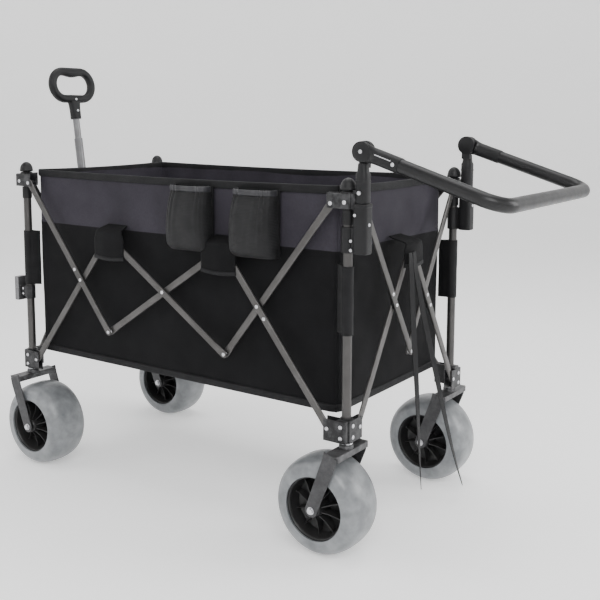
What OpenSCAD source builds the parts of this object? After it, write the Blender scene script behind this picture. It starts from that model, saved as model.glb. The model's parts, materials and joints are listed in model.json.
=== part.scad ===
// Folding camp wagon: four telescoping corner posts joined by scissor struts,
// a fabric tub, balloon-tyred swivel casters, a plug-in push bar and a pull handle.
// +X is the push-bar end (rear), -Y the near side, +Z up. Z = 0 is the ground.

/* [Frame] */
// Distance between the front and rear post axes
post_span_x = 948; // [800:4:1100]
// Distance between the near and far post axes
post_span_y = 464; // [420:4:520]
// Outside diameter of a lower post tube
post_d = 19; // [18:0.5:20]
// Height of the lower strut pivots above the ground
low_pivot_z = 262; // [258:1:270]
// Height between the lower and upper strut pivots
pivot_rise = 448; // [440:1:456]
// Inboard distance from a post axis to the side strut pivots
side_pivot_in = 32; // [31:1:36]
// Inboard distance from a post axis to the end strut pivots
end_pivot_in = 27; // [26:1:30]

/* [Struts] */
// Width of a strut tube, seen from the side
strut_w = 16; // [14:0.5:16]
// Thickness of a strut tube
strut_t = 6; // [5:0.5:6]
// Distance from the wagon's middle to a side strut joint
side_joint_x = 175; // [170:1:180]
// Half the height between a side's lower and upper strut joints
side_joint_rise = 115; // [110:1:118]
// Radius of a strut rivet
rivet_r = 3; // [2.5:0.1:3.5]

/* [Casters] */
// Radius of a balloon tyre
tyre_r = 101.5; // [98:0.5:103]
// Width of a balloon tyre
tyre_w = 103; // [98:1:104]
// Radius of the wheel rim
rim_r = 68; // [60:1:70]
// Distance that an axle trails its swivel axis
trail = 45; // [30:1:50]
// Outside width of a fork
fork_w = 118; // [116:1:122]
// Radius of an axle
axle_r = 6; // [5:0.5:8]

/* [Fabric tub] */
// Half the length of the tub, outside
tub_x = 452; // [440:1:455]
// Half the width of the tub, outside
tub_y = 228; // [222:1:230]
// Height of the tub's bottom edge above the ground
tub_bottom = 285; // [280:1:290]
// Height of the tub's rim above the ground
tub_top = 740; // [730:1:745]
// Thickness of the tub's padded fabric
wall_t = 3; // [2:0.5:4]
// Thickness of the floor mat
mat_t = 7; // [5:0.5:9]

/* [Push bar] */
// Diameter of the push bar's tube
bar_d = 28; // [24:1:30]
// Distance from a post axis back to a stem's axis
stem_back = 33; // [32:1:36]
// Height of the knuckle axis above the ground
knuckle_z = 811; // [800:1:820]
// Length of the push bar from the knuckle axis to the cross tube's axis
bar_reach = 297; // [270:1:320]
// Angle that the arms droop below level
bar_droop = 17.5; // [0:0.5:30]
// Bend radius at the push bar's corners
bar_bend = 42; // [35:1:60]

/* [Pull handle] */
// Angle that the handle leans away from the wagon
pull_lean = 7.5; // [5:0.5:15]
// Distance from the handle's pivot to the middle of its grip
pull_length = 345; // [320:1:380]
// Width of the grip ring
grip_w = 155; // [130:1:160]
// Height of the grip ring
grip_h = 96; // [80:1:110]

/* [Hidden] */
$fn = 48;

// Shift that puts the origin under the middle of the whole wagon's box
shift_x = -112.7;

post_x = post_span_x / 2;
post_y = post_span_y / 2;
post_r = post_d / 2;
post_wall = 1.3;
foot_z = low_pivot_z - 25;
foot_h = 46;
plug_h = 30;
swivel_r = 5;
lower_top = 678;
collar_low = 670;
collar_h = 28;
sleeve_low = 700;
stub_low = 560;
cap_z = 747;
cap_r = 13;
high_pivot_z = low_pivot_z + pivot_rise;
mid_z = low_pivot_z + pivot_rise / 2;
side_px = post_x - side_pivot_in;
end_py = post_y - end_pivot_in;

// Depths, counted outward from the post axis plane
plate_in = 3;
plate_out = 5.5;
inner_in = 7;
inner_out = inner_in + strut_t;
outer_in = inner_out + 1.5;
outer_out = outer_in + strut_t;
head_t = 1.5;
gap = 0.3;
hole_r = rivet_r + 0.05;

// Side scissors: joints at the ends of the middle cross, and the three crossings
side_low = mid_z - side_joint_rise;
side_high = mid_z + side_joint_rise;
side_slope = (high_pivot_z - side_low) / (side_px - side_joint_x);
side_cross = side_px - pivot_rise / 2 / side_slope;
// End scissors: both crosses meet at the middle of the end
end_slope_half = 69;
end_low = mid_z - pivot_rise / 2 * end_slope_half / (end_py - end_slope_half);
end_high = 2 * mid_z - end_low;

// Push bar and stems
stem_x = post_x + stem_back;
socket_low = 615;
socket_high = 712;
socket_w = 28;
clamp_high = lower_top - 12;
stem_r = 9;
cuff_h = 42;
button_z = socket_high + 21;
button_r = 4;
knuckle_r = 20;
disc_t = 12;
arm_start = 24;

// Fork: height of the crown's top, leg thickness and half widths
crown_z = foot_z - 13;
leg_t = 3;
leg_top = 16;
leg_end = 13.5;

// Pull handle: pivot place, tube and grip section
pull_x = -518;
pull_z = 614;
pull_r = 11;
inner_r = 9;
pivot_r = 4;
ring_r = 11;

// Fabric covers and pockets
cover_t = 2.5;
pocket_t = 2;

// Routes of the two loose webbing straps at the rear: [x, y, z] of points along each
strap_a = [[503, -31, 592], [505, -30, 560], [507, -27, 500], [508, -20, 430], [509, -12, 360],
    [510, -4, 290], [511, 3, 220], [512, 9, 150], [513, 14, 100], [514, 17, 62]];
strap_b = [[503, -14, 592], [506, -11, 555], [512, -1, 500], [518, 12, 440], [525, 32, 370],
    [531, 53, 300], [536, 75, 230], [541, 97, 165], [545, 118, 110], [548, 137, 66], [551, 150, 36]];
strap_w = 13;
strap_t = 1.6;

module placed() {
    translate([shift_x, 0, 0])
        children();
}

// A cylinder along +Y from y = a to y = b
module along_y(r, a, b) {
    translate([0, a, 0])
        rotate([-90, 0, 0])
            cylinder(h = b - a, r = r);
}

// Puts side parts, drawn with depth along +Y from the post plane, on the near or far side
module on_side(sy) {
    if (sy < 0)
        mirror([0, 1, 0])
            translate([0, post_y, 0])
                children();
    else
        translate([0, post_y, 0])
            children();
}

// Puts end parts, drawn with x across the wagon and depth along +Y, on the rear or front end
module on_end(sx) {
    if (sx > 0)
        translate([post_x, 0, 0])
            rotate([0, 0, -90])
                mirror([1, 0, 0])
                    children();
    else
        mirror([1, 0, 0])
            translate([post_x, 0, 0])
                rotate([0, 0, -90])
                    mirror([1, 0, 0])
                        children();
}

// One strut from p to q, each [across, up]. An outer strut carries rivets at the distances in
// pins; holes lie at the distances in holes.
module strut(p, q, outer, pins, holes) {
    run = q - p;
    reach = norm(run);
    base = outer ? outer_in : inner_in;
    translate([p[0], 0, p[1]])
        rotate([0, -atan2(run[1], run[0]), 0]) {
            difference() {
                union() {
                    translate([0, base, -strut_w / 2])
                        cube([reach, strut_t, strut_w]);
                    for (d = [0, reach])
                        translate([d, 0, 0])
                            along_y(strut_w / 2, base, base + strut_t);
                }
                for (d = holes)
                    translate([d, 0, 0])
                        along_y(hole_r, base - 1, base + strut_t + 1);
            }
            for (d = pins)
                translate([d, 0, 0])
                    strut_rivet();
        }
}

// Rivet of an outer strut: domed head outside, washer between the layers, head behind
module strut_rivet() {
    along_y(rivet_r, plate_out + gap, outer_in);
    along_y(5.5, plate_out - 0.5 + gap, inner_in - 0.1);
    along_y(6, inner_out + 0.1, outer_in);
    along_y(5, outer_out, outer_out + head_t);
}

// Side strut number n, counted from the front: odd ones lie outside and fall toward the rear
module side_strut(sy, n) {
    low_l = [-side_joint_x, side_low];
    high_l = [-side_joint_x, side_high];
    low_r = [side_joint_x, side_low];
    high_r = [side_joint_x, side_high];
    front_low = [-side_px, low_pivot_z];
    front_high = [-side_px, high_pivot_z];
    rear_low = [side_px, low_pivot_z];
    rear_high = [side_px, high_pivot_z];
    outer_reach = norm(low_l - front_high);
    cross_at = norm([side_cross - side_px, pivot_rise / 2]);
    mid_reach = norm(low_r - high_l);
    placed()
        color("dimgray")
            on_side(sy) {
                if (n == 1)
                    strut(front_high, low_l, true, [cross_at, outer_reach], [0]);
                if (n == 2)
                    strut(front_low, high_l, false, [], [0, cross_at]);
                if (n == 3)
                    strut(high_l, low_r, true, [mid_reach / 2, mid_reach], []);
                if (n == 4)
                    strut(low_l, high_r, false, [], [0, mid_reach / 2]);
                if (n == 5)
                    strut(rear_low, high_r, true, [cross_at], [0]);
                if (n == 6)
                    strut(rear_high, low_r, false, [], [0, cross_at, outer_reach]);
            }
}

// End strut number n, counted from the near side: even ones lie outside
module end_strut(sx, n) {
    near_low = [-end_py, low_pivot_z];
    near_high = [-end_py, high_pivot_z];
    far_low = [end_py, low_pivot_z];
    far_high = [end_py, high_pivot_z];
    low = [0, end_low];
    high = [0, end_high];
    reach = norm(low - near_high);
    cross_at = norm([end_py - end_slope_half, pivot_rise / 2]);
    placed()
        color("dimgray")
            on_end(sx) {
                if (n == 1)
                    strut(near_low, high, false, [], [0, cross_at, reach]);
                if (n == 2)
                    strut(near_high, low, true, [cross_at, reach], []);
                if (n == 3)
                    strut(far_high, low, false, [], [cross_at, reach]);
                // the front's upper joint turns on the handle bracket's pin
                if (n == 4 && sx > 0)
                    strut(far_low, high, true, [cross_at, reach], [0]);
                if (n == 4 && sx < 0)
                    strut(far_low, high, true, [cross_at], [0, reach]);
            }
}

// Pivot pin on a bracket's plate, for a strut in the inner or the outer layer
module plate_pin(outer) {
    far = outer ? outer_out : inner_out;
    near = outer ? outer_in : inner_in;
    along_y(rivet_r, plate_in, far + 0.1 + head_t);
    along_y(6, plate_out, near - 0.1);
    along_y(5, far + 0.1, far + 0.1 + head_t);
}

// Plates of a corner bracket, pointing inboard along -X for the side and along -Y for the end,
// drawn for the rear far corner with the post axis at the origin
module bracket_plates(z0, z1) {
    translate([-side_pivot_in - 10, plate_in, z0])
        cube([side_pivot_in + 6, plate_out - plate_in, z1 - z0]);
    translate([plate_in, -end_pivot_in - 10, z0])
        cube([plate_out - plate_in, end_pivot_in + 6, z1 - z0]);
}

// One corner bracket with its pins. side_pin and end_pin: 0 none, 1 inner layer, 2 outer layer
module bracket(z0, z1, pivot_z, side_pin, end_pin) {
    bracket_plates(z0, z1);
    translate([-side_pivot_in, 0, pivot_z])
        if (side_pin > 0)
            plate_pin(side_pin == 2);
    translate([0, -end_pivot_in, pivot_z])
        rotate([0, 0, -90])
            if (end_pin > 0)
                plate_pin(end_pin == 2);
}

// Puts a corner part, drawn for the rear far corner around the post axis, at its corner
module at_corner(sx, sy) {
    placed()
        mirror([sx < 0 ? 1 : 0, 0, 0])
            mirror([0, sy < 0 ? 1 : 0, 0])
                translate([post_x, post_y, 0])
                    children();
}

// Lower post: hollow tube, collar, foot bracket and the swivel's bearing plug
module post(sx, sy, side_pin, end_pin) {
    bore_r = post_r - post_wall;
    at_corner(sx, sy)
        color([0.14, 0.14, 0.15]) {
            difference() {
                union() {
                    translate([0, 0, foot_z])
                        cylinder(h = lower_top - foot_z, r = post_r);
                    translate([0, 0, collar_low])
                        cylinder(h = collar_h, r = post_r + 2);
                    translate([0, 0, foot_z])
                        cylinder(h = foot_h + 2, r = post_r + 3);
                    bracket(foot_z, foot_z + foot_h, low_pivot_z, side_pin, end_pin);
                }
                translate([0, 0, foot_z + plug_h])
                    cylinder(h = lower_top, r = bore_r);
                translate([0, 0, foot_z - 1])
                    cylinder(h = plug_h - 4, r = swivel_r + 0.05);
            }
        }
}

// Upper post: telescoping stub, head bracket and ball cap
module head(sx, sy, side_pin, end_pin) {
    at_corner(sx, sy)
        color([0.07, 0.07, 0.075]) {
            translate([0, 0, stub_low])
                cylinder(h = cap_z - stub_low, r = post_r - post_wall - 0.1);
            translate([0, 0, sleeve_low])
                cylinder(h = collar_h, r = post_r + 2);
            bracket(sleeve_low, sleeve_low + 32, high_pivot_z, side_pin, end_pin);
            translate([0, 0, cap_z])
                sphere(r = cap_r);
        }
}

// Fork of a caster: swivel pin, crown and two legs, with the axle and its nuts
module fork(sx, sy) {
    leg_y = fork_w / 2;
    nut_r = 9;
    at_corner(sx, sy)
        color([0.09, 0.09, 0.1]) {
            translate([0, 0, crown_z])
                cylinder(h = foot_z - crown_z + plug_h - 7, r = swivel_r);
            translate([0, 0, crown_z])
                cylinder(h = foot_z - crown_z - gap, r = 13);
            translate([-leg_top, -leg_y, crown_z - 4])
                cube([2 * leg_top, fork_w, 4]);
            for (s = [-1, 1])
                translate([0, s * (leg_y - leg_t / 2), 0])
                    rotate([90, 0, 0])
                        linear_extrude(height = leg_t, center = true)
                            fork_leg();
            // the axle trails inboard of the swivel
            translate([-trail, 0, tyre_r]) {
                along_y(axle_r, -leg_y - 4, leg_y + 4);
                for (s = [-1, 1])
                    translate([0, s * (leg_y + leg_t / 2), 0])
                        along_y(nut_r, -2, 2);
            }
        }
}

// Outline of a fork leg in the plane of the wheel
module fork_leg() {
    polygon([[leg_top, crown_z], [-leg_top, crown_z],
        [-trail - leg_end, tyre_r + 4], [-trail + leg_end, tyre_r - 4]]);
    translate([-trail, tyre_r])
        circle(r = leg_end + 0.5);
}

// Half outline of the balloon tyre as [radius, across]
function tyre_edge(n) = [for (i = [0:n])
    let (a = 90 - 180 * i / n, w = tyre_w / 2, d = tyre_r - rim_r)
        [rim_r + d * pow(abs(cos(a)), 0.55), w * sign(sin(a)) * pow(abs(sin(a)), 0.6)]];

module tyre(sx, sy) {
    at_corner(sx, sy)
        translate([-trail, 0, tyre_r])
            rotate([90, 0, 0])
                color([0.55, 0.56, 0.57])
                    rotate_extrude($fn = 96)
                        polygon(concat([[rim_r, tyre_w * 0.36]], tyre_edge(24), [[rim_r, -tyre_w * 0.36]]));
}

// Dished rim: barrel, web and hub with a running bore for the axle
module rim(sx, sy) {
    half = tyre_w * 0.44;
    hub = fork_w / 2 - 4;
    barrel_t = 6;
    web_h = 36;
    hub_r = 16;
    at_corner(sx, sy)
        translate([-trail, 0, tyre_r])
            rotate([90, 0, 0])
                color([0.05, 0.05, 0.055]) {
                    difference() {
                        union() {
                            difference() {
                                cylinder(h = 2 * half, r = rim_r - 0.1, center = true);
                                cylinder(h = 2 * half + 2, r = rim_r - barrel_t, center = true);
                            }
                            cylinder(h = web_h, r = rim_r - barrel_t + 1, center = true);
                            cylinder(h = 2 * hub, r = hub_r, center = true);
                        }
                        cylinder(h = 3 * hub, r = axle_r + 0.05, center = true);
                    }
                }
}

// Long fabric wall with its two joint covers
module long_wall(sy) {
    placed()
        color([0.08, 0.08, 0.09])
            mirror([0, sy < 0 ? 1 : 0, 0]) {
                translate([-tub_x, tub_y - wall_t, tub_bottom])
                    cube([2 * tub_x, wall_t, tub_top - tub_bottom]);
                for (sx = [-1, 1])
                    translate([sx * (side_joint_x - 11), 0, 0])
                        joint_cover(tub_y, post_y + outer_out + 3, 95, 545);
            }
}

// Short fabric wall. The front's middle joint carries the handle bracket, so only the rear has a cover
module end_wall(sx) {
    half = tub_y - wall_t - gap;
    placed()
        color([0.08, 0.08, 0.09])
            mirror([sx < 0 ? 1 : 0, 0, 0]) {
                translate([tub_x - wall_t, -half, tub_bottom])
                    cube([wall_t, 2 * half, tub_top - tub_bottom]);
                if (sx > 0)
                    rotate([0, 0, -90])
                        mirror([1, 0, 0])
                            joint_cover(tub_x, post_x + outer_out + 3, 80, 560);
            }
}

// Fabric cover over a strut joint: it leaves the wall above the joint, then hangs outside the struts
module joint_cover(wall, out, w, low) {
    neck_w = 54;
    neck_low = 586;
    top = 622;
    translate([-w / 2, out, low])
        cube([w, cover_t, neck_low - low]);
    translate([-neck_w / 2, out, low])
        cube([neck_w, cover_t, top - low]);
    translate([-neck_w / 2, wall, top - 4])
        cube([neck_w, out + cover_t - wall, 4]);
}

// Two open cup pockets sewn to the near wall, above the struts
module cup_pockets() {
    pocket_x = [18, 194];
    pocket_w = 116;
    pocket_low = 596;
    pocket_h = 132;
    pocket_d = 50;
    back_y = -tub_y - gap;
    placed()
        color([0.03, 0.03, 0.03])
            for (x = pocket_x)
                translate([x, back_y - pocket_d, pocket_low])
                    difference() {
                        cube([pocket_w, pocket_d, pocket_h]);
                        translate([pocket_t, pocket_t, pocket_t])
                            cube([pocket_w - 2 * pocket_t, pocket_d - 2 * pocket_t, pocket_h]);
                    }
}

module mat(sy) {
    placed()
        color([0.1, 0.1, 0.11])
            mirror([0, sy < 0 ? 1 : 0, 0])
                translate([-tub_x + wall_t + 1, 1, tub_bottom])
                    cube([2 * (tub_x - wall_t - 1), tub_y - wall_t - 2, mat_t]);
}

// Socket that clamps a push-bar stem to a post
module socket(sy) {
    at_corner(1, sy)
        color([0.05, 0.05, 0.055])
            difference() {
                union() {
                    translate([stem_back - 15, -socket_w / 2, socket_low])
                        cube([30, socket_w, socket_high - socket_low]);
                    translate([8, -socket_w / 2, socket_low])
                        cube([stem_back - 20, socket_w, clamp_high - socket_low]);
                }
                translate([0, 0, socket_low - 1])
                    cylinder(h = 200, r = post_r + 0.05);
                translate([0, 0, clamp_high])
                    cylinder(h = 100, r = post_r + 5);
                translate([stem_back, 0, socket_low + 6])
                    cylinder(h = 200, r = stem_r + 0.05);
            }
}

// Stem with the inner disc of its knuckle on top, which lies inboard of the bar's disc
module stem(sy) {
    at_corner(1, sy)
        color([0.06, 0.06, 0.065])
            translate([stem_back, 0, 0])
                difference() {
                    union() {
                        translate([0, 0, socket_low + 8])
                            cylinder(h = socket_high - socket_low, r = stem_r);
                        translate([0, 0, socket_high + 0.5])
                            cylinder(h = cuff_h, r = 13);
                        translate([0, 0, socket_high + cuff_h - 2])
                            cylinder(h = knuckle_z - 24 - socket_high - cuff_h, r = 10);
                        translate([0, 0, knuckle_z])
                            along_y(knuckle_r, -disc_t, 0);
                        translate([-9, -disc_t, knuckle_z - 34])
                            cube([18, disc_t, 20]);
                    }
                    translate([0, 0, button_z])
                        along_y(button_r + 0.1, 4.9, 30);
                }
}

module button(sy) {
    at_corner(1, sy)
        color([0.6, 0.6, 0.62])
            translate([stem_back, 0, button_z])
                along_y(button_r, 8.5, 17.5);
}

// U-shaped push bar with the outer discs of both knuckles
module push_bar() {
    placed()
        color([0.06, 0.06, 0.065])
            translate([stem_x, 0, knuckle_z])
                rotate([0, bar_droop, 0]) {
                    bar_tube();
                    for (s = [-1, 1])
                        bar_disc(s);
                }
}

module bar_tube() {
    r = bar_d / 2;
    straight = bar_reach - bar_bend - arm_start;
    for (s = [-1, 1]) {
        translate([arm_start, s * post_y, 0])
            rotate([0, 90, 0])
                cylinder(h = straight, r = r);
        translate([bar_reach - bar_bend, s * (post_y - bar_bend), 0])
            rotate([0, 0, s > 0 ? 0 : -90])
                rotate_extrude(angle = 90)
                    translate([bar_bend, 0])
                        circle(r = r);
    }
    translate([bar_reach, -post_y + bar_bend, 0])
        along_y(r, 0, post_span_y - 2 * bar_bend);
}

// Disc of the bar's knuckle beside the stem's disc, with a neck into the arm
module bar_disc(s) {
    y0 = s > 0 ? post_y + gap : -post_y - gap - disc_t;
    translate([0, y0, 0])
        along_y(knuckle_r, 0, disc_t);
    translate([0, y0, -11])
        cube([arm_start + 6, disc_t, 22]);
}

// Bracket on the front middle joint that carries the pull handle
module handle_bracket() {
    plate_x = -post_x - outer_out - head_t - 6;
    lug_y = 17;
    placed()
        color([0.08, 0.08, 0.09]) {
            difference() {
                union() {
                    translate([plate_x, -lug_y - 2, end_high - 20])
                        cube([4, 2 * lug_y + 4, 40]);
                    for (s = [-1, 1])
                        translate([pull_x - 9, s * lug_y - 2, end_high - 4])
                            cube([27, 4, 40]);
                }
                translate([pull_x, 0, pull_z])
                    along_y(pivot_r + 0.05, -30, 30);
            }
            translate([plate_x + 1, 0, end_high])
                rotate([0, 90, 0])
                    cylinder(h = outer_out + head_t + 4.9 - inner_in, r = rivet_r);
        }
}

module handle_frame() {
    placed()
        translate([pull_x, 0, pull_z])
            rotate([0, -pull_lean, 0])
                children();
}

// Outer tube of the pull handle with its pivot pin
module handle_tube() {
    handle_frame()
        color([0.35, 0.35, 0.36]) {
            difference() {
                translate([0, 0, -9])
                    cylinder(h = 209, r = pull_r);
                translate([0, 0, 10])
                    cylinder(h = 300, r = inner_r + 0.1);
            }
            along_y(pivot_r, -21, 21);
        }
}

// Inner tube, neck and grip ring of the pull handle
module handle_grip() {
    grip_low = pull_length - grip_h / 2;
    tube_low = 20;
    handle_frame() {
        color([0.45, 0.45, 0.46])
            translate([0, 0, tube_low])
                cylinder(h = grip_low - tube_low, r = inner_r);
        color([0.05, 0.05, 0.055]) {
            translate([0, 0, grip_low - 44])
                cylinder(h = 50, r = 13);
            translate([0, 0, pull_length])
                grip_ring(ring_r);
        }
    }
}

// Oblong ring of round section, standing across the wagon
module grip_ring(r) {
    w = grip_w / 2 - grip_h / 2;
    c = grip_h / 2 - r;
    for (s = [-1, 1])
        translate([0, s * w, 0])
            rotate([0, 90, 0])
                rotate([0, 0, s > 0 ? 0 : 180])
                    rotate_extrude(angle = 180)
                        translate([c, 0])
                            circle(r = r);
    for (s = [-1, 1])
        translate([0, 0, s * c])
            along_y(r, -w, w);
}

// Clip clamped round the near front post, with its upright block
module post_clip() {
    clip_z = 415;
    at_corner(-1, -1)
        color([0.12, 0.12, 0.13])
            difference() {
                union() {
                    translate([0, 0, clip_z])
                        cylinder(h = 34, r = post_r + 3);
                    translate([8, -7, clip_z + 4])
                        cube([30, 14, 26]);
                    translate([30, -13, clip_z - 7])
                        cube([14, 26, 60]);
                }
                translate([0, 0, clip_z - 20])
                    cylinder(h = 80, r = post_r + 0.05);
            }
}

// Flat band swept along a route, as one closed solid
module band(route, w, t) {
    n = len(route);
    points = [for (p = route, c = [[-w / 2, -t / 2], [w / 2, -t / 2], [w / 2, t / 2], [-w / 2, t / 2]])
        [p[0] + c[1], p[1] + c[0], p[2]]];
    sides = [for (i = [0:n - 2], k = [0:3])
        [4 * i + k, 4 * i + (k + 1) % 4, 4 * i + 4 + (k + 1) % 4, 4 * i + 4 + k]];
    polyhedron(points = points, faces = concat([[3, 2, 1, 0]], sides,
        [[4 * n - 4, 4 * n - 3, 4 * n - 2, 4 * n - 1]]));
}

module rear_straps() {
    placed()
        color([0.04, 0.04, 0.045]) {
            band(strap_a, strap_w, strap_t);
            band(strap_b, strap_w, strap_t);
        }
}

module post_near_rear() post(1, -1, 2, 1);
module post_near_front() post(-1, -1, 1, 1);
module post_far_rear() post(1, 1, 2, 2);
module post_far_front() post(-1, 1, 1, 2);
module head_near_rear() head(1, -1, 1, 0);
module head_near_front() head(-1, -1, 2, 0);
module head_far_rear() head(1, 1, 1, 0);
module head_far_front() head(-1, 1, 2, 0);
module near_strut_1() side_strut(-1, 1);
module near_strut_2() side_strut(-1, 2);
module near_strut_3() side_strut(-1, 3);
module near_strut_4() side_strut(-1, 4);
module near_strut_5() side_strut(-1, 5);
module near_strut_6() side_strut(-1, 6);
module far_strut_1() side_strut(1, 1);
module far_strut_2() side_strut(1, 2);
module far_strut_3() side_strut(1, 3);
module far_strut_4() side_strut(1, 4);
module far_strut_5() side_strut(1, 5);
module far_strut_6() side_strut(1, 6);
module rear_strut_1() end_strut(1, 1);
module rear_strut_2() end_strut(1, 2);
module rear_strut_3() end_strut(1, 3);
module rear_strut_4() end_strut(1, 4);
module front_strut_1() end_strut(-1, 1);
module front_strut_2() end_strut(-1, 2);
module front_strut_3() end_strut(-1, 3);
module front_strut_4() end_strut(-1, 4);
module fork_near_rear() fork(1, -1);
module fork_near_front() fork(-1, -1);
module fork_far_rear() fork(1, 1);
module fork_far_front() fork(-1, 1);
module tyre_near_rear() tyre(1, -1);
module tyre_near_front() tyre(-1, -1);
module tyre_far_rear() tyre(1, 1);
module tyre_far_front() tyre(-1, 1);
module rim_near_rear() rim(1, -1);
module rim_near_front() rim(-1, -1);
module rim_far_rear() rim(1, 1);
module rim_far_front() rim(-1, 1);
module near_wall() long_wall(-1);
module far_wall() long_wall(1);
module rear_wall() end_wall(1);
module front_wall() end_wall(-1);
module near_mat() mat(-1);
module far_mat() mat(1);
module near_socket() socket(-1);
module far_socket() socket(1);
module near_stem() stem(-1);
module far_stem() stem(1);
module near_button() button(-1);
module far_button() button(1);

post_near_rear();
post_near_front();
post_far_rear();
post_far_front();
head_near_rear();
head_near_front();
head_far_rear();
head_far_front();
near_strut_1();
near_strut_2();
near_strut_3();
near_strut_4();
near_strut_5();
near_strut_6();
far_strut_1();
far_strut_2();
far_strut_3();
far_strut_4();
far_strut_5();
far_strut_6();
rear_strut_1();
rear_strut_2();
rear_strut_3();
rear_strut_4();
front_strut_1();
front_strut_2();
front_strut_3();
front_strut_4();
fork_near_rear();
fork_near_front();
fork_far_rear();
fork_far_front();
tyre_near_rear();
tyre_near_front();
tyre_far_rear();
tyre_far_front();
rim_near_rear();
rim_near_front();
rim_far_rear();
rim_far_front();
near_wall();
far_wall();
rear_wall();
front_wall();
near_mat();
far_mat();
cup_pockets();
near_socket();
far_socket();
near_stem();
far_stem();
near_button();
far_button();
push_bar();
handle_bracket();
handle_tube();
handle_grip();
post_clip();
rear_straps();
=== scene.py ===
# %% [markdown]
# # A folding camp wagon
# The steel frame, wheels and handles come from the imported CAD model. Everything that gives the wagon
# its looks is made here around it: sewn fabric, enamelled steel, moulded plastic and soft PVC tyres.

# %% Load the frame
import functools
import json
import math
import bmesh
import bpy
from mathutils import Matrix, Vector, noise


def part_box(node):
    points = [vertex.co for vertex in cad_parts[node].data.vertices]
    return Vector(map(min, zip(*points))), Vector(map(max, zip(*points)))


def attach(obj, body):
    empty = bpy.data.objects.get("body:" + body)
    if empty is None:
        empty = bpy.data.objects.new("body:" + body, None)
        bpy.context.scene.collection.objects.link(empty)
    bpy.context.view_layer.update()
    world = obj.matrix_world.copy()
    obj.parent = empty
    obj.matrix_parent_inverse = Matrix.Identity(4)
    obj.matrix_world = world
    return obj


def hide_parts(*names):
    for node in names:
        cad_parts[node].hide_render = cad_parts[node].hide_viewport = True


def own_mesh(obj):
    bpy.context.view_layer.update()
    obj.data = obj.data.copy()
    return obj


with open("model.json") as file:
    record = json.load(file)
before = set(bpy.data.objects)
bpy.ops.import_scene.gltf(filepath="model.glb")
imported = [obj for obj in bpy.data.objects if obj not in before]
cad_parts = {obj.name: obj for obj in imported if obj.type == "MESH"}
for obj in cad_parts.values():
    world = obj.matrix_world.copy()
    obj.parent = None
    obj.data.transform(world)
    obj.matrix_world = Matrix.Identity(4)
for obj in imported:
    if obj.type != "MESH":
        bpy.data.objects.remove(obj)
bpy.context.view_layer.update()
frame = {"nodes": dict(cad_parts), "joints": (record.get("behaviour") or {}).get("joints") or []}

joint_at = {j["name"]: Vector(j["pos_m"]) for j in frame["joints"] if "pos_m" in j}
CORNERS = ["near_rear", "near_front", "far_rear", "far_front"]
post_at = {q: Vector((*joint_at["swivel_" + q].xy, 0)) for q in CORNERS}
mid_x = (post_at["near_rear"].x + post_at["near_front"].x) / 2
post_y = post_at["far_rear"].y
UP = Vector((0, 0, 1))
OUTWARD = {"near": Vector((0, -1, 0)), "far": Vector((0, 1, 0)),
           "rear": Vector((1, 0, 0)), "front": Vector((-1, 0, 0))}

# %% [markdown]
# ## Camera, floor and light
# The camera stands at the wagon's near rear corner, a little above its rim. Two big soft lights and a
# pale surround keep the dark fabric readable without hard shadows, as a product studio does.

# %% Camera
scene = bpy.context.scene
cam = bpy.data.objects.new("camera", bpy.data.cameras.new("camera"))
scene.collection.objects.link(cam)
cam.location = (mid_x + 1.4046, -1.7187, 0.8802)
cam.rotation_euler = (Matrix.Rotation(math.radians(34.25), 3, "Z")
                      @ Matrix.Rotation(math.radians(90 - 7.03), 3, "X")
                      @ Matrix.Rotation(math.radians(0.23), 3, "Z")).to_euler()
cam.data.sensor_width = 36
cam.data.lens = 54.95
cam.data.shift_x = -0.0218
cam.data.shift_y = -0.1212
cam.data.clip_end = 50
scene.camera = cam

# %% Floor, lights and surround
def area_light(name, place, target, size, power, tint=(1, 1, 1)):
    lamp = bpy.data.objects.new(name, bpy.data.lights.new(name, "AREA"))
    scene.collection.objects.link(lamp)
    lamp.location = place
    lamp.rotation_euler = (Vector(target) - Vector(place)).to_track_quat("-Z", "Y").to_euler()
    lamp.data.shape = "RECTANGLE"
    lamp.data.size = size[0]
    lamp.data.size_y = size[1]
    lamp.data.energy = power
    lamp.data.color = tint
    return lamp


area_light("key_light", (2.2, -2.6, 3.0), (mid_x, 0, 0.4), (2.2, 2.2), 95)
area_light("side_light", (-2.6, -2.4, 2.2), (mid_x, 0, 0.4), (2.0, 2.0), 22)
area_light("top_light", (mid_x, 0.4, 3.4), (mid_x, 0, 0), (3.0, 2.4), 75)
area_light("rear_light", (2.8, 1.6, 1.6), (mid_x, 0, 0.5), (1.4, 1.8), 44)
world = bpy.data.worlds.new("studio")
scene.world = world
world.use_nodes = True
world.node_tree.nodes["Background"].inputs["Color"].default_value = (1, 1, 1, 1)
world.node_tree.nodes["Background"].inputs["Strength"].default_value = 0.45
sweep_line = [(0.01, 0), (3, 0), (6, 0)]
sweep_line += [(6 + 2 * math.sin(t), 2 - 2 * math.cos(t))
               for t in [math.pi / 2 * k / 12 for k in range(1, 13)]] + [(8, 6)]
bowl = bmesh.new()
rows = [[bowl.verts.new((mid_x + r * math.cos(a), r * math.sin(a), z))
         for a in [2 * math.pi * k / 96 for k in range(96)]]
        for r, z in sweep_line]
for low_row, high_row in zip(rows, rows[1:]):
    for k in range(96):
        bowl.faces.new((low_row[k], high_row[k], high_row[(k + 1) % 96], low_row[(k + 1) % 96]))
bowl.faces.new(rows[0])
bmesh.ops.recalc_face_normals(bowl, faces=bowl.faces)
floor_mesh = bpy.data.meshes.new("floor")
bowl.to_mesh(floor_mesh)
bowl.free()
for poly in floor_mesh.polygons:
    poly.use_smooth = True
floor = bpy.data.objects.new("floor", floor_mesh)
scene.collection.objects.link(floor)

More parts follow.
